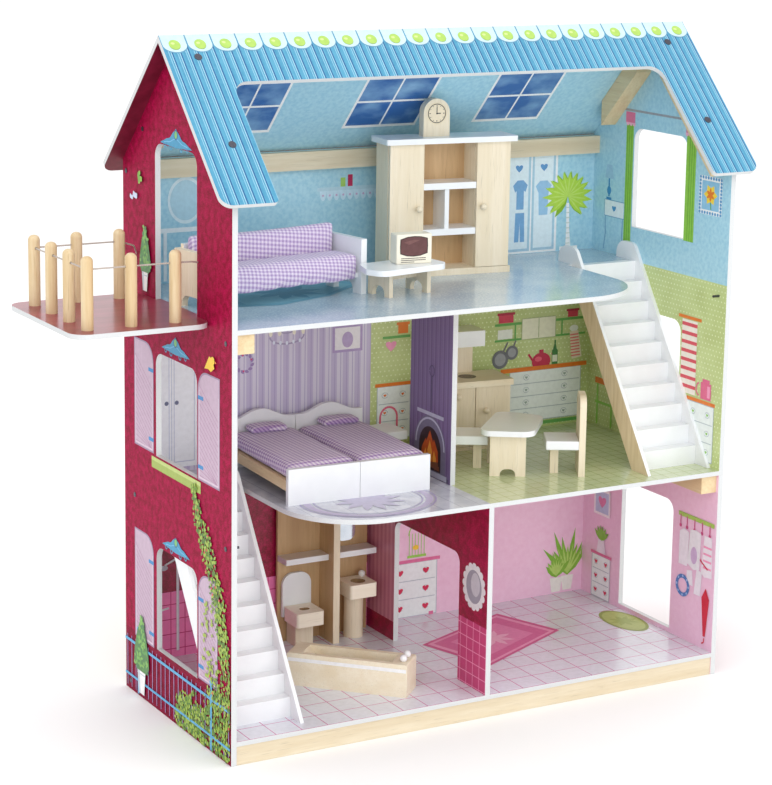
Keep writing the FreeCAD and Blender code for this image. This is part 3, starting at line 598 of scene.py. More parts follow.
def dress_plain():
    """The nodes with one paint all over, by paint and edge radius."""
    for paint, bevel, nodes in (
        (ply, 0.5, "wardrobe_door_left wardrobe_door_right kitchen_door_left kitchen_door_right"),
        (ply, 0.5, "kitchen_cabinet dining_table_legs tv_table_legs"),
        (ply, 0.8, "mantel_clock"),
        (ply_across, 0.8, "kitchen_worktop bathtub"),
        (white, 0.5, "lower_stair_steps upper_stair_steps"),
        (white, 0.6, "bath_shelves"),
        (white, 0.7, "lower_stair_stringers wardrobe_shelves"),
        (white, 0.8, "tv_table_top toilet_lid"),
        (white, 1.0, "wardrobe_top dining_table_top"),
        (pine, 0, "balcony_posts"),
        (pine_long, 0, "base_rails"),
        (twisted_cord(), 0, "balcony_cord"),
        (dark_steel(), 0, "panel_screws"),
        (lacquer("cream_case", (93, 91, 84), 0.35, 0.2), 0, "television"),
        (lacquer("white_tap", (93, 93, 93), 0.2, 0.5), 0, "washbasin_tap"),
        (lacquer("white_ball", (94, 94, 95), 0.2, 0.5), 0, "bathtub_taps"),
    ):
        for node in nodes.split():
            dress(node, paint, bevel=bevel)


def dress_house():
    left_print = side_inside("print_left_inside", crimson_colour, lilac_colour)
    right_print = side_inside("print_right_inside", pink_colour, green_colour)
    pink = plain("print_pink", pink_colour, **PAPER)
    green = plain("print_green", lambda paint: green_colour(paint, paint.y), **PAPER)
    plum = plain("print_plum", plum_colour, rough=0.3, coat=0.35)
    left, right, front, up, down = facing(0, -1), facing(0, 1), facing(1, -1), facing(2, 1), facing(2, -1)
    for node, rest, *printed in (
        ("left_wall", edge, (left, red), (right, left_print)),
        ("right_wall", edge, (right, red), (left, right_print)),
        ("back_panel_attic", bare, (front, attic_back())),
        ("back_panel_middle", bare, (front, middle_back(SPLIT))),
        ("back_panel_ground", bare, (front, ground_back(SPLIT))),
        ("base_floor", edge, (up, base_floor_print()), (down, bare)),
        ("middle_floor", edge, (up, middle_floor_print(SPLIT)), (down, bare)),
        ("attic_floor", edge, (up, attic_floor_print()), (down, bare)),
        ("partition_ground", edge, (left, partition_ground_print()), (right, pink)),
        ("partition_middle", edge, (left, partition_middle_print()), (right, green)),
        ("balcony_plate", edge, (up, balcony_top()), (down, plum)),
        ("support_battens", pine_deep,
         (lambda m, n: INNER_BACK - 12 < m.y and 30 < m.x < WIDTH - 30, pine_long)),
    ):
        dress(node, rest, printed)
    stripes, ceiling = roof_print(), roof_inside()
    for node, side in (("roof_front", -1), ("roof_back", 1)):
        dress(node, edge, [
            (lambda middle, normal, s=side: normal.z > 0.6 and normal.y * s > 0.6, stripes),
            (lambda middle, normal, s=side: normal.z < -0.6 and normal.y * s < -0.6, ceiling)])
    # The near stringer's sides take the tan painted shade below the attic floor.
    shaded = low("upper_stair_stringers").x + 6
    dress("upper_stair_stringers", white, [
        (lambda m, n: m.x < shaded and abs(n.x) > 0.9, stringer_paint())], bevel=0.7)


def dress_furniture():
    in_sofa, in_wardrobe = turned(*SOFA), turned(*WARDROBE)
    dress("sofa_frame", white, [(lambda m, n: in_sofa(m)[0] < 7.5, ply)], bevel=0.6)
    # The backs of the wardrobe's niches take the darker ply as painted shade.
    dress("wardrobe_carcass", ply, [(lambda m, n: in_wardrobe(m)[1] > 28 and n.y < -0.7, recess_shade)], bevel=0.5)

    def side_rail(m, n):
        return MIDDLE + 13 < m.z < MIDDLE + 26 and BEDS[1] + 2 < m.y < INNER_BACK - 14 and abs(n.y) < 0.8

    for side in ("left", "right"):
        dress(f"bed_{side}_frame", white, [(side_rail, pine_deep)], bevel=0.6)
    hood_low = high("kitchen_hood").z - 18.5
    dress("kitchen_hood", white, [(lambda m, n: m.z < hood_low and abs(n.z) < 0.9, ply)], bevel=0.6)
    for node, chair in (("chair_right", turned(*CHAIR_RIGHT)), ("chair_left", turned(*CHAIR_LEFT))):
        dress(node, ply, [
            (lambda m, n, local=chair: -1 < local(m)[0] < 35.9 and m.z > MIDDLE + 29.2, white)], bevel=0.6)
    dress("bedside_stool", white, [(lambda m, n: m.z < MIDDLE + 23, ply)], bevel=0.8)
    # The bath unit's boards take the darker ply as painted shade, all but their front edges.
    bath_front = low("bath_boards").y + 1
    dress("bath_boards", recess_shade, [(lambda m, n: m.y < bath_front, ply)], bevel=0.5)

    # The toilet's hole and the basin's bowl take the darker wood as painted shade.
    def in_toilet(m, n):
        return GROUND + 35 < m.z < GROUND + 42.9 and abs(m.x - 200) < 7 and abs(m.y - 228) < 5

    def in_basin(m, n):
        return GROUND + 58 < m.z < GROUND + 66.4 and hypot(m.x - 267, m.y - 227) < 9.2

    dress("toilet", ply, [(lambda m, n: m.z > GROUND + 27.5, cream), (in_toilet, hollow_shade)])
    dress("washbasin", ply, [(lambda m, n: m.z > GROUND + 50.8, cream), (in_basin, hollow_shade)])
    dress("bath_mirror", white, [(facing(1, -1), looking_glass())], bevel=0.6)


# ---------------------------------------------------------------- prints: flat shapes just off the boards

class Prints:
    """Printed shapes on one plane, the later over the earlier; place(a, b, lift) is a house point."""

    made = []

    def __init__(self, name, body, place, slot):
        self.name, self.body, self.place, self.slot = name, body, place, slot
        self.shapes = []
        self.top = EPS
        Prints.made.append(self)

    def add(self, colour, *outlines):
        """Lays shapes of one ink over what is there, each a hair over the one before; after CYCLE shapes the
        steps begin again.
        """
        for index, outline in enumerate(outlines):
            self.shapes.append((colour, outline, self.top + STEP * (1 + index % CYCLE)))
        self.top += STEP * min(len(outlines), CYCLE)

    def build(self):
        mesh = bpy.data.meshes.new(self.name)
        points, faces, inks, names = [], [], [], []
        for colour, outline, lift in self.shapes:
            start = len(points)
            points += [at(*self.place(a, b, lift)) for a, b in outline]
            faces.append(tuple(range(start, len(points))))
            if colour not in names:
                names.append(colour)
            inks.append(names.index(colour))
        mesh.from_pydata(points, [], faces)
        for colour in names:
            mesh.materials.append(tint(colour))
        mesh.polygons.foreach_set("material_index", inks)
        outward = at(*self.place(0, 0, 1)) - at(*self.place(0, 0, 0))
        for face in mesh.polygons:
            if face.normal.dot(outward) < 0:
                face.flip()
        mesh.update()
        thing = bpy.data.objects.new(self.name, mesh)
        bpy.context.scene.collection.objects.link(thing)
        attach(thing, self.body)


def rect(a, b, c, d):
    return [(a, b), (c, b), (c, d), (a, d)]


def oval(a, b, wide, high=None, start=0, end=360, count=28):
    high = wide if high is None else high
    steps = count if end - start < 360 else count - 1
    return [(a + wide * cos(radians(start + (end - start) * i / count)),
             b + high * sin(radians(start + (end - start) * i / count))) for i in range(steps + 1)]


def ring(a, b, outer, wide, high=1.0):
    """A closed band as four-sided pieces."""
    outside = oval(a, b, outer, outer * high, 0, 360, 32)
    inside = oval(a, b, outer - wide, (outer - wide) * high, 0, 360, 32)
    count = len(outside)
    return [[outside[i], outside[(i + 1) % count], inside[(i + 1) % count], inside[i]] for i in range(count)]


def heart(a, b, size):
    points = []
    for i in range(28):
        t = 2 * pi * i / 28
        points.append((a + size * sin(t) ** 3,
                       b + size * (13 * cos(t) - 5 * cos(2 * t) - 2 * cos(3 * t)) / 16))
    return points


def leaf(a, b, long, wide, turn):
    c, s = cos(radians(turn)), sin(radians(turn))
    half = [(0, 0), (0.3, 0.42), (0.62, 0.44), (1, 0), (0.62, -0.44), (0.3, -0.42)]
    return [(a + u * long * c - v * wide * s, b + u * long * s + v * wide * c) for u, v in half]


def stroke(points, width):
    """A line of even width as one four-sided piece for each run."""
    pieces = []
    for (a, b), (c, d) in zip(points, points[1:]):
        long = hypot(c - a, d - b) or 1.0
        u, v = (d - b) / long * width / 2, (a - c) / long * width / 2
        pieces.append([(a + u, b + v), (c + u, d + v), (c - u, d - v), (a - u, b - v)])
    return pieces


def border(left, bottom, right, top, width):
    """A line round a rectangle."""
    return stroke([(left, bottom), (left, top), (right, top), (right, bottom), (left, bottom)], width)


def fan(a, b, long, wide, turns):
    """Leaves that spring from one point."""
    return [leaf(a, b, long, wide, turn) for turn in turns]


def around(a, b, wide, high, angles):
    """Points on an oval, with their angles."""
    return [(a + wide * cos(angle), b + high * sin(angle), angle) for angle in angles]


def full_turn(count):
    """Angles evenly round a circle."""
    return [2 * pi * i / count for i in range(count)]


def curl(a, b, radius, turns, side=1, start=90):
    """A spiral scroll."""
    count = int(22 * turns)
    return [(a + side * radius * (1 - 0.8 * i / count) * cos(radians(start + 360 * turns * i / count)),
             b + radius * (1 - 0.8 * i / count) * sin(radians(start + 360 * turns * i / count)))
            for i in range(count + 1)]


def within(a, least, most):
    """Keeps a print's point off the board's edge or the corner of a room."""
    return min(max(a, least + 0.3), most - 0.3)


def on_left_wall(a, b, lift):
    return -lift, within(a, 0, DEPTH), b


def on_right_wall(a, b, lift):
    return RIGHT_INNER - lift, within(a, 0, INNER_BACK), b


def on_back(a, b, lift):
    return within(a, WALL, RIGHT_INNER), INNER_BACK - lift, b


def on_level(level):
    return lambda a, b, lift: (a, b, level + lift)


def on_roof_inside(a, b, lift):
    """a along the house, b level distance behind the ridge, on the rear roof's underside."""
    skin = 5 * sqrt(2)
    return a, RIDGE_Y + b - lift * 0.707, RIDGE - skin - b - lift * 0.707


def on_roof_front(a, b, lift):
    """a along the house, b down the slope from the ridge."""
    return a, RIDGE_Y - (b + lift) * 0.7071, RIDGE - (b - lift) * 0.7071


def on_front_of(x, y, turn, level, face=0.0):
    """The front face of a loose piece: a across it, b up from its foot."""
    angle = radians(turn)
    c, s = cos(angle), sin(angle)

    def place(a, b, lift):
        depth = face - lift
        return x + a * c - depth * s, y + a * s + depth * c, level + b

    return place


IVY = ((55, 68, 14), (46, 61, 11), (40, 55, 14), (30, 46, 12), (62, 72, 26))
LEAF_GREEN = (30, 58, 14)
BLUE = (16, 52, 76)
LIME = (56, 80, 34)
PINK = (88, 30, 52)
ROSE = (95, 62, 76)
WHITE = (96, 96, 96)
ORANGE = (90, 48, 12)
LILAC = (80, 70, 84)
DRAWER_LINE = (72, 77, 80)
FENCE = (34, 66, 84)
SHELF = (40, 68, 34)


SHUTTERS = (        # near and far edge along the wall, bottom and top
    (187, 237, 279, 395), (27, 78, 278, 391), (188, 238, 66, 187), (31, 77, 69, 182),
)
SHUTTER_ROUND = 20      # radius of the corner at the window's top
SHUTTER_RIM = 1.6
SLAT_PITCH, SLAT_RISE = 6.2, 30


def shutters(add):
    """Pairs of louvred shutters beside the lower windows, hinged in blue."""
    for near, far, bottom, top in SHUTTERS:
        window_side, other, inward = (near, far, 1) if near > 100 else (far, near, -1)
        corner = oval(window_side + inward * SHUTTER_ROUND, top - SHUTTER_ROUND,
                      -inward * SHUTTER_ROUND, SHUTTER_ROUND, 0, 90, 8)
        outline = [(other, bottom), (window_side, bottom)] + corner + [(other, top)]
        add((60, 50, 62), outline)
        centre, level = (near + far) / 2, (bottom + top) / 2
        add((76, 66, 74), [(a + (SHUTTER_RIM if a < centre else -SHUTTER_RIM),
            b + (SHUTTER_RIM if b < level else -SHUTTER_RIM)) for a, b in outline])
        slats = []
        for i in range(-5, 24):
            start = bottom + i * SLAT_PITCH
            run = [(near + 3, start), (far - 3, start + SLAT_RISE)]
            slats += stroke([(a, min(max(b, bottom + 3), top - 4)) for a, b in run], 0.9)
        add((68, 52, 64), *[s for s in slats if max(b for _, b in s) < top - 12])
        add((84, 76, 82), *[rect(a, bottom + 3, a + 1.8, top - 20) for a in (near + 2.4, far - 4.2)],
            rect(near + 3, bottom + 2.4, far - 3, bottom + 4.2))
        hinge = sorted((window_side, window_side + inward * 13))
        add(BLUE, *[rect(hinge[0], level, hinge[1], level + 4) for level in (bottom + 12, top - 30)])


def scroll(add, middle, base, half, tall):
    """A wrought swag over an opening: two horns that meet under a jewel, with a curl under each."""
    steps = [i / 12 for i in range(13)]
    horns, veins, curls = [], [], []
    for side in (-1, 1):
        upper = [(middle + side * half * t, base + 4.4 * (1 - t ** 4) + (tall - 5) * (1 - t) ** 3.2
                  + 2.2 * sin(2.5 * pi * t) ** 2 * (1 - t)) for t in steps]
        lower = [(middle + side * half * t, base - 2.0 * (1 - t)) for t in steps]
        horns.append(upper + lower[::-1])
        veins += stroke([((a + c) / 2, (b + d) / 2) for (a, b), (c, d) in zip(upper[:10], lower[:10])], 0.9)
        curls += stroke(curl(middle + side * half * 0.72, base - 1.0, 3.6, 1.1, side), 1.2)
        curls += stroke(curl(middle + side * half * 0.34, base - 2.0, 4.2, 1.1, side), 1.4)
    add((20, 58, 74), *horns, *curls)
    add((42, 72, 88), *veins)
    add((12, 36, 58), oval(middle, base + tall * 0.62, 4.6, 5.2))
    add((46, 74, 42), oval(middle, base + tall * 0.62, 3.2, 3.8))


def foliage(add, chance, count, area, size, greens):
    """Leaves scattered over an area, a function of two numbers from 0 to 1 that gives a place."""
    groups = {green: [] for green in greens}
    for _ in range(count):
        a, b = area(chance.random(), chance.random())
        long, wide = size * chance.uniform(0.7, 1.3), size * chance.uniform(0.7, 1.0)
        outline = leaf(a, b, long, wide, chance.uniform(0, 360))
        inside = [(min(max(u, BOARD_EDGE), DEPTH - BOARD_EDGE), max(v, BOARD_EDGE)) for u, v in outline]
        groups[chance.choice(greens)].append(inside)
    for green, outlines in groups.items():
        add(green, *outlines)


def along(points, share):
    """A place on a line of points, by its share of the points' runs."""
    run = min(int(share * (len(points) - 1)), len(points) - 2)
    part = share * (len(points) - 1) - run
    return tuple(p + (q - p) * part for p, q in zip(points[run], points[run + 1]))


def topiary(add, chance, middle, foot, crown, half):
    """A clipped cone of leaves in a white tub."""
    tall = crown - foot
    waist = foot + tall * 0.28
    right = [(middle + half * part, waist + tall * rise)
             for part, rise in ((0.55, 0.0), (0.95, 0.10), (0.85, 0.28), (0.5, 0.52))]
    left = [(2 * middle - a, b) for a, b in reversed(right)]
    add((30, 52, 26), right + [(middle, crown)] + left)

    def inside(p, q):
        reach = half * 0.9 * (1 - p) ** 0.8
        return middle + (2 * q - 1) * reach, waist + 3 + (tall * 0.68) * p

    def tub(rim, base):
        """The tub from a share of its half width, at its rim and its foot, to its right side."""
        return [(middle + half * share, level) for share, level in (
            (rim, waist + 1), (0.5, waist + 1), (0.34, foot), (base, foot))]

    foliage(add, chance, int(half * 7), inside, 4.6, ((26, 50, 30), (36, 62, 30), (50, 72, 34)))
    add(WHITE, tub(-0.5, -0.34))
    rim_shade = rect(middle - half * 0.5, waist - 3, middle + half * 0.5, waist - 1.6)
    add((78, 82, 86), rim_shade, tub(0.2, 0.12))


def left_wall_prints():
    chance = random.Random(SEED)
    add = Prints("left_wall_prints", "house", on_left_wall, "printed_red").add
    shutters(add)
    add((62, 70, 30), rect(71, 264, 192, 276))
    add((74, 80, 46), rect(71, 272, 192, 276))
    for opening in ((129, 608, 38, 18), (131, 397, 34, 17), (131, 188, 34, 15)):
        scroll(add, *opening)
    rails = [rect(1, 55, DEPTH - 1, 58), rect(1, 16, DEPTH - 1, 18.6)]
    pickets = [rect(y, 4, y + 1.3, 62) for y in range(4, 262, 11)]
    posts = [rect(y - 2, 2, y + 2, 72) for y in (45, 229)]
    add((62, 56, 76), *pickets)
    add(FENCE, *rails, *posts)
    add(FENCE, oval(45, 74, 3.6), oval(229, 74, 3.6))
    vine = [(88, 268), (72, 236), (50, 204), (32, 172), (20, 140), (15, 104), (26, 62), (60, 20)]
    spread = [4, 12, 15, 15, 12, 12, 30, 60]

    def beside_vine(p, q):
        a, b = along(vine, p)
        reach = spread[min(int(p * 8), 7)]
        return min(max(3, a + (q - 0.5) * 2 * reach), 150), max(3, b + (chance.random() - 0.5) * 16)

    def hedge(p, q):
        return 3 + 128 * p, 3 + (22 + 44 * (1 - p) + 10 * sin(9 * p)) * q

    add((34, 40, 16), *stroke(vine[:6], 1.3))
    foliage(add, chance, 900, hedge, 4.6, IVY)
    add(FENCE, *rails, posts[0], oval(45, 74, 3.6))
    foliage(add, chance, 900, beside_vine, 4.4, IVY)
    foliage(add, chance, 46, lambda p, q: (40 + 24 * p, 72 + 84 * q), 5.0, IVY[4:])
    berries = [beside_vine(chance.random(), chance.random()) for _ in range(16)]
    add((85, 22, 30), *[oval(*berry, 1.5, count=8) for berry in berries])
    for tree in ((219, 5, 92, 21), (204, 449, 516, 15)):
        topiary(add, chance, *tree)
    add((96, 80, 16), [(36, 400), (41, 409), (48, 410), (52, 405), (59, 396), (50, 397), (44, 395)],
        oval(40, 407, 4.2, count=14))
    add(ORANGE, [(35, 408), (31, 406), (35, 405)])
    for a, b, size in ((229, 543, 8), (238, 541, 6)):
        add((80, 84, 94), leaf(a, b, size, size * 0.9, 60), leaf(a, b, size, size * 0.9, 140))
    foliage(add, chance, 7, lambda p, q: (208 + 13 * p, 559 + 13 * q), 7, ((56, 76, 26), (44, 66, 20)))


def roof_prints():
    add = Prints("roof_prints", "house", on_roof_front, "printed_blue").add
    start, end = low("roof_front").x, high("roof_front").x
    count = 23
    pitch = (end - start) / count
    scallops, centres, glints = [], [], []
    for i in range(count):
        middle = start + pitch * (i + 0.5)
        half = pitch / 2 - 0.7
        arch = oval(middle, 12.5, half, 9.5, 0, 180, 14)
        scallops.append([(middle - half, 0.2), (middle + half, 0.2)] + arch)
        centres.append(oval(middle, 12.5, 6.2, count=22))
        glints.append(oval(middle - 1.6, 11.0, 2.2, 1.5, count=12))
    add((36, 58, 70), rect(start, 0.2, end, 4), *[[(a, b + 1.3) for a, b in s] for s in scallops])
    add((76, 86, 90), *scallops)
    add((48, 62, 30), *[[(a, b + 0.6) for a, b in c] for c in centres])
    add((66, 80, 36), *centres)
    add((80, 90, 56), *glints)
    sky = Prints("sky_windows", "house", on_roof_inside, "printed_blue").add
    for near, far in ((85, 155), (249, 335), (414, 496)):
        top, bottom = 48, 105
        sky(WHITE, rect(near - 3, bottom + 3, far + 3, top - 3))
        sky(SKY, rect(near, top, far, bottom))
        centre, level = (near + far) / 2, (top + bottom) / 2
        sky(WHITE, rect(centre - 1.1, top, centre + 1.1, bottom), rect(near, level - 1.1, far, level + 1.1))


def attic_prints():
    add = Prints("attic_prints", "house", on_back, "printed_blue").add
    add((74, 86, 92), rect(228, 532, 322, 536))
    scallops = [oval(231 + 8.4 * i + 4.2, 532, 4.2, 11, 180, 360, 10) for i in range(11)]
    add((80, 90, 96), *scallops)
    add(LILAC, *[oval(231 + 8.4 * i + 4.2, 527, 1.3, count=10) for i in range(11)])
    add((66, 82, 40), rect(257, 536, 263, 546))
    add((74, 16, 34), rect(266, 536, 272, 549))
    add((95, 96, 97), rect(471, 444.5, 543, 563))
    add((66, 80, 88), rect(474, 447, 506, 560), rect(508, 447, 540, 560))
    add((88, 94, 97), rect(477, 450, 503, 557), rect(511, 450, 537, 557))
    shirt = [(482, 524), (488, 530), (496, 530), (502, 524), (499, 516), (497, 518), (497, 496), (487, 496),
             (487, 518), (485, 516)]
    trousers = [(486, 492), (498, 492), (499, 458), (493, 458), (492, 480), (491, 458), (485, 458)]
    frock = [(513, 522), (519, 528), (529, 528), (535, 522), (531, 514), (530, 488), (518, 488), (517, 514)]
    add((46, 66, 84), shirt, trousers)
    add((60, 77, 90), frock)
    add((34, 58, 80), heart(490, 544, 5), heart(524, 544, 5))
    trunk = [(556, 445), (564, 445), (561, 470), (560, 500), (556, 500), (557, 470)]
    add(WHITE, trunk, rect(548, 444.5, 573, 449))
    add((78, 83, 80), *[rect(556, b, 562, b + 1) for b in range(452, 500, 6)])
    turns = range(-48, 229, 19)
    add((54, 72, 14), *fan(558, 508, 30, 9, range(-51, 238, 19)))
    add((70, 85, 26), *[leaf(558, 508, 36 - 7 * abs(sin(radians(turn))), 8.5, turn) for turn in turns])
    add((76, 88, 40), *fan(558, 508, 27, 2.2, turns))
    add((86, 93, 96), *ring(70, 532, 21, 3, 1.2))
    add((70, 84, 90), oval(70, 532, 17.5, 21.5))
    add((93, 95, 96), rect(40, 498, 104, 503), rect(44, 446, 48, 498), rect(96, 446, 100, 498))


def drawers(add, left, right, bottom, top, rows, knob, heart_size=1.9):
    """A printed chest of drawers."""
    add((93, 96, 96), rect(left, bottom, right, top))
    step = (top - bottom) / rows
    add(DRAWER_LINE, *[rect(left + 2, bottom + step * i - 0.5, right - 2, bottom + step * i + 0.5)
        for i in range(1, rows)], *border(left, bottom, right, top, 1.0))
    middle = (left + right) / 2
    spread = (right - left) * 0.27
    for i in range(rows):
        level = bottom + step * (i + 0.5)
        for place in (middle - spread, middle + spread):
            add(DRAWER_LINE, *stroke(oval(place, level, 4.0, 3.2, count=12), 0.7))
            add(knob, heart(place, level, heart_size))


def middle_prints():
    add = Prints("middle_prints", "house", on_back, "printed_lilac").add
    # bedroom
    add((66, 62, 76), *stroke([(192, 439), (192, 390)], 1.2), *stroke(oval(192, 374, 21, 9, 180, 360), 1.8),
        *stroke(oval(192, 384, 12, 7, 180, 360), 1.4))
    add((97, 95, 88), *[oval(a, 378, 2.2, 3.6) for a in (172, 183, 201, 212)])
    add((90, 92, 98), *[oval(a, 366 + abs(a - 192) / 10, 1.5, 2.2) for a in (176, 184, 192, 200, 208)])
    add((70, 62, 80), rect(249, 349, 287, 380))
    add((94, 93, 95), rect(252, 352, 284, 377))
    add((74, 66, 82), oval(268, 363, 7, 9))
    add((62, 52, 74), *[leaf(a, b, 6, 4, degrees(t) + 70)
                        for a, b, t in around(140, 348, 8.5, 8.5, full_turn(12))])
    add(PINK, *[oval(a, b, 1.2, count=8) for a, b, _ in around(140, 348, 9, 9, (0.4, 1.8, 3.1, 4.6))])
    add((95, 96, 98), rect(22, 240, 84, 372))
    add((78, 80, 88), rect(52.5, 244, 53.5, 368), *border(26, 246, 50, 366, 1.0),
        *border(56, 246, 80, 366, 1.0))
    add((42, 44, 56), oval(47, 312, 2.4), oval(59, 312, 2.4))
    # kitchen, left of the cabinet
    add(SHELF, rect(313, 359, 349, 362))
    add(ORANGE, rect(333, 364, 346, 375), rect(331, 374, 348, 377))
    add(ROSE, heart(324, 351, 7))
    drawers(add, 307, 350, 243, 304, 3, ORANGE)
    add(ORANGE, rect(304, 304, 353, 308))
    add((90, 42, 55), *stroke([(311, 236)] + oval(322, 268, 11, 12, 180, 0, 12) + [(333, 236)], 2.4))
    add((86, 18, 30), heart(336, 246, 6))
    add(LEAF_GREEN, leaf(336, 250, 5, 3, 60), leaf(336, 250, 5, 3, 120))
    # kitchen, right
    add(SHELF, rect(462, 360.5, 588, 363.5), rect(462, 342, 588, 344.5), rect(489, 342, 491, 363),
        rect(554, 342, 556, 363))
    add((93, 93, 84), rect(499, 342, 546, 367))
    add((66, 72, 50), *border(499, 342, 546, 367, 1.0), rect(522, 343, 523, 366))
    add((82, 24, 34), rect(467, 364, 487, 374), rect(563, 364, 577, 372))
    add((70, 16, 26), rect(465, 373, 489, 376), rect(561, 371, 579, 373.5))
    add((93, 95, 92), rect(466, 345, 486, 356), oval(572, 350, 6, 4))
    add((44, 45, 48), oval(470, 321, 11), oval(486, 328, 8.5), *stroke([(474, 330), (480, 341)], 2),
        *stroke([(488, 335), (491, 342)], 2))
    add((62, 63, 66), oval(470, 321, 7.5), oval(486, 328, 5.5))
    add((78, 10, 28), oval(527, 314, 13, 10.5), rect(524, 323, 530, 328),
        *stroke(oval(542, 316, 5, 6, -80, 100, 8), 2.0), *stroke([(515, 316), (509, 324)], 2.6))
    add((90, 36, 46), oval(523, 317, 5, 3))
    add((24, 50, 24), rect(542, 308, 550, 326), [(543, 326), (549, 326), (547, 333), (545, 333)],
        rect(545, 333, 547, 338))
    add((90, 92, 84), rect(542.6, 312, 549.4, 320))
    add((93, 88, 80), [(566, 346), (570, 313), (584, 315), (578, 347)])
    bands = []
    for i in range(8):
        level, left, right = 343 - 3.6 * i, 566.6 + 0.27 * i, 578.5 + 0.45 * i
        bands.append([(left, level), (right, level + 0.5),
                      (right + 0.2, level - 1.3), (left + 0.2, level - 1.8)])
    add((90, 52, 50), *bands)
    drawers(add, 484, 583, 244, 304, 4, (60, 68, 66))
    add(ORANGE, rect(471, 304, 591, 309))
    add(SHELF, rect(482, 238, 586, 242))


def ground_prints():
    add = Prints("ground_prints", "house", on_back, "printed_pink").add
    drawers(add, 326, 390, 26, 91, 3, (82, 12, 30), heart_size=4.2)
    add((88, 44, 62), rect(322, 91, 394, 95), rect(330, 25, 336, 29), rect(380, 25, 386, 29))
    cage = [rect(352 + 4 * i, 100, 352.8 + 4 * i, 126) for i in range(6)]
    add((62, 84, 34), *cage, *stroke(oval(362.5, 124, 11, 13, 0, 180, 12), 1.4), rect(350, 97, 375, 100))
    add((96, 80, 20), oval(361, 109, 4, 3))
    add((92, 88, 92), *stroke(oval(430, 150, 20, 26), 2.4))
    add((86, 42, 62), *stroke([(338, 186), (346, 178), (354, 186), (362, 178), (370, 186), (378, 178),
        (386, 186), (394, 178)], 1.2))
    pole = 58
    add((92, 90, 93), rect(pole, 32, pole + 3.4, 142), *stroke([(pole - 14, 131), (pole + 2, 138)], 2.2),
        *stroke([(pole - 21, 80), (pole - 9, 82)], 2.4))
    add((78, 76, 82), oval(pole - 15, 128, 5, 3), rect(pole + 2.4, 32, pole + 3.4, 142))
    chance = random.Random(SEED + 2)
    for middle, foot, tall in ((573, 28, 74), (557, 27, 40)):
        add((93, 93, 90), [(middle - 9, foot + 18), (middle + 9, foot + 18), (middle + 6, foot),
            (middle - 6, foot)])
        add((50, 72, 22), *[leaf(middle, foot + 18, tall * chance.uniform(0.5, 0.85), 7, turn)
            for turn in (46, 58, 70, 80, 90, 100, 110, 122, 134)])
        add((70, 84, 42), *fan(middle, foot + 20, tall * 0.5, 3.0, (52, 66, 78, 90, 102, 114, 128)))


def floor_prints():
    add = Prints("floor_prints", "house", on_level(GROUND), "printed_pink").add
    rug = [(319, 170), (453, 226), (486, 143), (350, 76)]
    centre = tuple(sum(p[i] for p in rug) / 4 for i in (0, 1))

    def smaller(share):
        return [tuple(centre[i] + (p[i] - centre[i]) * share for i in (0, 1)) for p in rug]

    bands = (((82, 30, 54), 1.0), ((93, 62, 76), 0.92), ((85, 38, 60), 0.84), ((90, 52, 70), 0.60))
    for colour, share in bands:
        add(colour, smaller(share))
    add((95, 72, 82), *fan(centre[0], centre[1], 26, 9, range(10, 370, 45)))
    add((56, 62, 28), oval(571, 137, 22, 40))
    add((68, 73, 40), oval(571, 137, 19, 35))
    add((60, 66, 30), *fan(571, 137, 18, 7, range(0, 360, 45)))
    attic = Prints("attic_rug", "house", on_level(ATTIC), "printed_blue").add
    edge_line = [(60, 107), (102, 98), (174, 124), (238, 174), (203, 222), (114, 220), (62, 190)]
    attic((40, 63, 72), edge_line)
    attic((50, 71, 78), [(140 + (a - 140) * 0.86, 160 + (b - 160) * 0.86) for a, b in edge_line])
    attic((34, 58, 69), *fan(140, 160, 42, 15, range(0, 360, 40)))
    upper = Prints("bedroom_rug", "house", on_level(MIDDLE), "printed_lilac").add
    for colour, outer, wide in (((62, 58, 74), 75, 2.2), ((74, 70, 82), 71, 8.0), ((64, 60, 76), 60, 1.4)):
        upper(colour, *ring(190, 68, outer, wide, 0.84))
    upper((78, 76, 86), *fan(190, 68, 40, 12, range(0, 360, 30)))


def partition_prints():
    face = low("partition_middle").x
    add = Prints("fireplace_print", "house", lambda a, b, lift: (face - lift, a, b), "printed_lilac").add
    add((36, 32, 44), rect(84, MIDDLE + 0.5, 164, 240))
    outer = [(157, 240)] + oval(124, 268, 33, 34, 0, 180, 18) + [(91, 240)]
    add((46, 44, 54), outer)
    add((74, 74, 82), *stroke(oval(124, 268, 30, 31, 0, 180, 18), 2.2))
    inner = [(147, 243)] + oval(124, 266, 23, 24, 0, 180, 16) + [(101, 243)]
    add((20, 12, 14), inner)
    add((78, 34, 12), leaf(112, 244, 34, 16, 84), leaf(136, 244, 32, 16, 96), leaf(124, 244, 42, 20, 90))
    add((96, 66, 26), leaf(124, 245, 30, 11, 90), leaf(113, 245, 20, 8, 84), leaf(135, 245, 20, 8, 97))
    add((50, 30, 20), *stroke([(104, 247), (144, 250)], 5), *stroke([(106, 252), (142, 246)], 4))
    add((72, 72, 80), rect(88, 236, 160, 242), rect(96, 302, 152, 306))
    add((34, 30, 44), *stroke(oval(122, 352, 5, 6), 1.4), rect(121, 308, 123.4, 346))

    wall = low("partition_ground").x
    lower = Prints("mirror_print", "house", lambda a, b, lift: (wall - lift, a, b), "printed_red").add
    petals = [oval(a, b, 4.4, count=12) for a, b, _ in around(27, 137, 19, 22, full_turn(16))]
    lower((90, 88, 90), *petals, oval(27, 137, 20, 23))
    lower((62, 60, 66), oval(27, 137, 15.5, 18.5))
    lower((78, 76, 80), oval(24, 140, 9, 13))
    lower((93, 90, 92), *[oval(y, 214, 4, 5, 180, 360, 8) for y in range(204, 256, 8)])
    lower(PINK, heart(228, 170, 9))


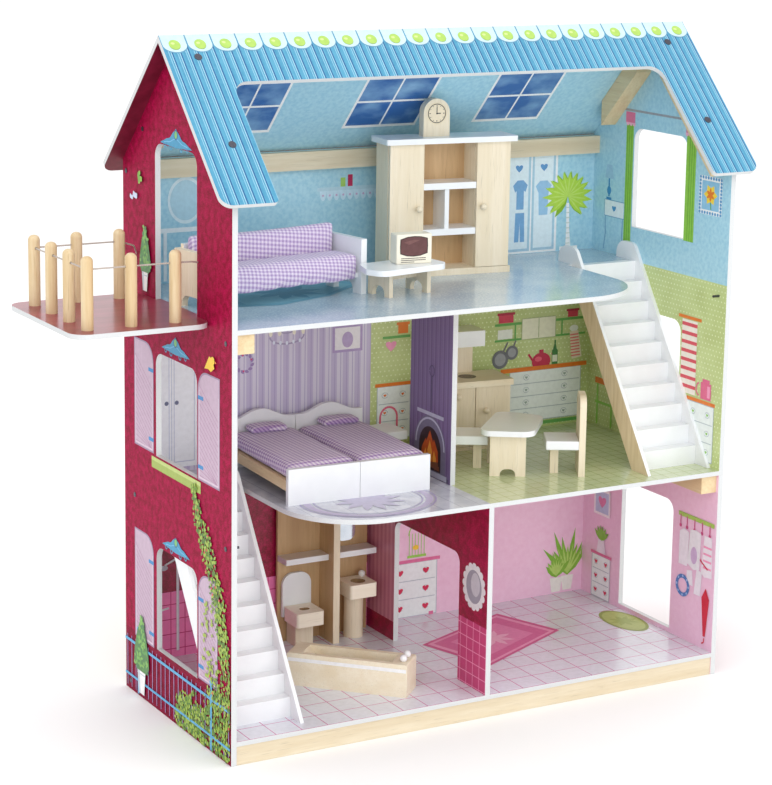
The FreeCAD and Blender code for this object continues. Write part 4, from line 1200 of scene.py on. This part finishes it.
def ring_of_dots(a, b, half, tall, radius):
    """Round studs along a picture frame."""
    level = [(a - half + 2 * half * i / 8, b + side * tall) for i in range(9) for side in (-1, 1)]
    upright = [(a + side * half, b - tall + 2 * tall * i / 10) for i in range(1, 10) for side in (-1, 1)]
    return [oval(*place, radius, count=10) for place in level + upright]


def right_wall_prints():
    add = Prints("right_wall_prints", "house", on_right_wall, "printed_blue").add
    # attic
    for left, right, hem in ((183, 197, 462), (64, 82, 480)):
        add((56, 78, 26), rect(left, hem, right, 606))
        add((42, 66, 18), *[rect(left + fold, hem, left + fold + 1.4, 600) for fold in (3, 7, 11)])
        add((88, 46, 62), rect(left - 2, 600, right + 2, 612))
        add((95, 70, 80), *[oval(a, 600, 3.2, 4, 180, 360, 8) for a in range(left, right + 2, 6)])
    add((62, 63, 66), rect(48, 613, 214, 615.5))
    add((90, 94, 96), rect(197, 487, 236, 506))
    add((46, 66, 80), *border(197, 487, 236, 506, 1.0), *stroke([(199, 487), (200, 466), (197, 448)], 1.6),
        *stroke([(234, 487), (233, 466), (236, 448)], 1.6))
    add((24, 56, 78), heart(217, 497, 4))
    add((62, 78, 88), [(219, 531), (237, 531), (233, 547), (223, 547)])
    add((16, 52, 76), rect(226.6, 510, 229.4, 531), oval(228, 517, 4, 5), rect(223, 506, 233, 509))
    add(WHITE, rect(15, 515, 56, 557))
    add((34, 60, 80), *ring_of_dots(35.5, 536, 18.6, 19.2, 1.8))
    add((56, 76, 88), rect(20, 520, 51, 552))
    add((97, 84, 26), *fan(35.5, 537, 12, 8, range(0, 360, 60)))
    add(ORANGE, *fan(35.5, 537, 8, 4, range(30, 390, 60)), oval(35.5, 537, 3.6))
    add((30, 62, 24), *stroke([(35, 529), (34, 521)], 1.6))
    # kitchen
    add(ORANGE, rect(42, 394, 84, 397.5), rect(12, 303.5, 64, 307.5))
    add((95, 92, 88), rect(49, 310, 77, 393))
    add((86, 30, 36), *[rect(49, b, 77, b + 4) for b in range(316, 390, 10)])
    add((88, 40, 56), rect(20, 309, 39, 328), rect(23, 328, 36, 332),
        *stroke(oval(42, 319, 5, 7, -90, 90, 8), 2))
    add(ROSE, rect(22, 312, 27, 325))
    drawers(add, 14, 62, 240, 303, 3, LIME)
    add(LIME, *[rect(a, 237, a + 3.2, 286) for a in (207, 236)], rect(204, 262, 242, 265))
    add(ORANGE, rect(203, 286, 243, 293))
    add((86, 30, 42), *stroke(oval(222, 330, 11, 14), 2.6), rect(211, 344, 233, 348))
    add((93, 93, 90), oval(222, 330, 9.4, 12.4))
    # hall
    add((66, 80, 36), rect(3, 168, 69, 173))
    hooks = (10, 24, 38, 52, 64)
    add((80, 30, 52), *[rect(a, 158, a + 1.6, 170) for a in hooks], *[oval(a + 0.8, 157, 2.2) for a in hooks])
    add((95, 93, 96), [(6, 156), (20, 156), (24, 112), (18, 108), (4, 110)])
    add(ROSE, *[rect(6, b, 21, b + 2.4) for b in (118, 126, 134, 142)])
    add((94, 93, 96), [(48, 152), (58, 155), (66, 150), (66, 112), (50, 112)],
        [(22, 112), (32, 114), (36, 84), (24, 84)], [(40, 110), (50, 108), (50, 92), (38, 92)])
    add((80, 14, 28), *stroke([(12, 118), (30, 128), (48, 118)], 2.0))
    add((32, 50, 76), *ring(57, 88, 13, 4.5))
    add((62, 74, 90), *[oval(a, b, 1.6, count=8) for a, b, _ in around(57, 88, 11, 11, full_turn(8))])
    add((82, 14, 24), [(14, 96), (21, 84), (16, 40), (12, 40), (7, 84)],
        *stroke([(14, 38), (14, 33), (18, 31)], 1.6))
    add((93, 93, 95), [(26, 156), (36, 158), (46, 156), (50, 116), (38, 111), (27, 114)])
    add(LILAC, oval(38, 128, 6, 10))
    drawers(add, 200, 237, 26, 78, 3, (82, 12, 30), heart_size=3.0)
    add((88, 44, 62), rect(197, 78, 240, 81.5))
    add((93, 90, 94), [(210, 81.5), (228, 81.5), (225, 98), (213, 98)])
    add((52, 74, 26), *fan(219, 97, 19, 6, (40, 62, 80, 98, 118, 140)))
    add(WHITE, rect(203, 128, 236, 160))
    add((74, 80, 90), rect(206, 131, 233, 157))
    add((86, 50, 66), heart(219.5, 145, 8))


def furniture_prints():
    clock = Prints("clock_dial", "clock", on_front_of(*WARDROBE, high("wardrobe_top").z, 12), "birch_ply").add
    middle, level = 44 + 15.5, 25
    clock((90, 84, 72), oval(middle, level, 12, count=36))
    clock((18, 15, 14), *ring(middle, level, 10.6, 0.9))
    clock((92, 86, 75), oval(middle, level, 9.7, count=36))
    ticks = []
    for hour in range(12):
        turn = radians(30 * hour)
        reach = (7.4, 8.9) if hour % 3 == 0 else (8.2, 8.9)
        ticks += stroke([(middle + r * sin(turn), level + r * cos(turn)) for r in reach], 0.9)
    clock((16, 13, 12), *ticks, *stroke([(middle, level - 1), (middle, level + 7)], 1.0),
        *stroke([(middle - 0.8, level), (middle + 4.6, level)], 1.1), oval(middle, level, 1.0, count=10))

    front = on_front_of(*TELEVISION, low("television").z)
    screen = Prints("television_front", "television", front, "dark_lacquer").add
    outline = [(4, 11)] + [(4 + 30.5 * t, 10 - 2.2 * sin(pi * t)) for t in (0.25, 0.5, 0.75)] + [(35, 11)] \
        + [(35.4, 19), (35, 27)] + [(35 - 30.5 * t, 27.5 + 2.0 * sin(pi * t)) for t in (0.25, 0.5, 0.75)] \
        + [(4, 26.5), (3.6, 19)]
    screen((20, 13, 12), outline)
    shrunk = [(19.5 + (a - 19.5) * 0.93, 19 + (b - 19) * 0.91) for a, b in outline]
    screen((36, 20, 20), shrunk)
    # A lighter streak across the screen's upper left: a painted reflection.
    screen((44, 28, 27), [(8, 23), (18, 25.5), (26, 25), (14, 20.5)])
    screen((22, 18, 16), rect(5, 5.8, 33, 6.5), rect(5, 3.8, 33, 4.5), rect(5, 1.9, 20, 2.5))

    hob = Prints("hob_ring", "kitchen", on_level(high("kitchen_worktop").z), "birch_ply").add
    hob((30, 25, 20), *ring(403, 223, 10.5, 3.4))
    hob((42, 36, 28), oval(403, 223, 7.4))
    hob((24, 20, 17), *ring(403, 223, 4.6, 1.0))

    stripe = Prints("tub_stripe", "tub", on_front_of(*TUB, GROUND), "white_lacquer").add
    stripe((95, 95, 95), rect(1, 27, 132, 31))


# ---------------------------------------------------------------- padded fabric

def evaluated(thing):
    """The mesh of an object with its modifiers applied."""
    graph = bpy.context.evaluated_depsgraph_get()
    return bpy.data.meshes.new_from_object(thing.evaluated_get(graph), depsgraph=graph)


def padded(name, node, body, fabric, voxel, swell, shrink, crown=0.0):
    """A stuffed form grown by a cloth simulation from a slightly smaller copy of a CAD solid."""
    mesh = NODES[node].data.copy()
    mesh.name = name
    middle = (Vector(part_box(node)[0]) + Vector(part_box(node)[1])) / 2
    for vertex in mesh.vertices:
        vertex.co = middle + Vector([(c - m) * s for c, m, s in zip(vertex.co, middle, shrink)])
    thing = bpy.data.objects.new(name, mesh)
    bpy.context.scene.collection.objects.link(thing)
    remesh = thing.modifiers.new("remesh", "REMESH")
    remesh.mode = "VOXEL"
    remesh.voxel_size = voxel * MM
    thing.data = evaluated(thing)
    thing.modifiers.clear()
    start = [vertex.co.copy() for vertex in thing.data.vertices]
    cloth = thing.modifiers.new("cloth", "CLOTH")
    cloth.settings.quality = 5
    cloth.settings.mass = 0.15
    cloth.settings.use_pressure = True
    cloth.settings.uniform_pressure_force = 4.0
    cloth.settings.tension_stiffness = 12
    cloth.settings.bending_stiffness = 0.3
    cloth.settings.effector_weights.gravity = 0.0
    for step in range(1, 13):
        bpy.context.scene.frame_set(step)
    shape = evaluated(thing)
    thing.modifiers.clear()
    bpy.context.scene.frame_set(1)
    for vertex, first in zip(shape.vertices, start):
        shift = vertex.co - first
        if shift.length > swell * MM:
            shift *= swell * MM / shift.length
        vertex.co = first + shift
    thing.data = shape
    lowest, highest = Vector(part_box(node)[0]), Vector(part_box(node)[1])
    for vertex in thing.data.vertices:
        vertex.co.z = max(vertex.co.z, lowest.z)
        if crown:
            share = vertex.co - lowest
            across = sin(pi * min(max(share.x / (highest.x - lowest.x), 0), 1))
            vertex.co.z += crown * MM * across * (share.z / (highest.z - lowest.z))
    thing.data.materials.clear()
    thing.data.materials.append(fabric)
    for face in thing.data.polygons:
        face.use_smooth = True
    relax = thing.modifiers.new("relax", "SMOOTH")
    relax.factor = 0.5
    relax.iterations = 2
    finer = thing.modifiers.new("finer", "SUBSURF")
    finer.levels = finer.render_levels = 1
    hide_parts(node)
    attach(thing, body)


def soft_goods():
    sofa_cloth = gingham("gingham_sofa", 4.6, (91, 87, 92), (79, 71, 85), (64, 53, 74), "front")
    bed_cloth = gingham("gingham_bed", 5.0, (90, 86, 91), (76, 65, 82), (55, 40, 67), "side")
    padded("sofa_seat_padding", "sofa_seat_cushion", "sofa", sofa_cloth, 4, 2.0, (0.985, 0.97, 0.96))
    padded("sofa_back_padding", "sofa_back_cushion", "sofa", sofa_cloth, 3, 1.6, (0.985, 0.94, 0.96))
    for side in ("left", "right"):
        bed, body = f"bed_{side}", f"{side}_bed"
        padded(f"{bed}_quilt", f"{bed}_blanket", body, bed_cloth, 4, 1.6, (0.985, 0.99, 0.92))
        padded(f"{bed}_cushion", f"{bed}_pillow", body, bed_cloth, 2.2, 2.2, (0.95, 0.93, 0.86), 1.4)


# ---------------------------------------------------------------- the scene

def smooth_nodes():
    for thing in NODES.values():
        mesh = thing.data
        mesh.polygons.foreach_set("use_smooth", [True] * len(mesh.polygons))
        mesh.set_sharp_from_angle(angle=radians(32))


make_camera()
make_stage()
dress_plain()
dress_house()
dress_furniture()
smooth_nodes()
left_wall_prints()
roof_prints()
attic_prints()
middle_prints()
ground_prints()
floor_prints()
partition_prints()
right_wall_prints()
furniture_prints()
for made in Prints.made:
    made.build()
soft_goods()
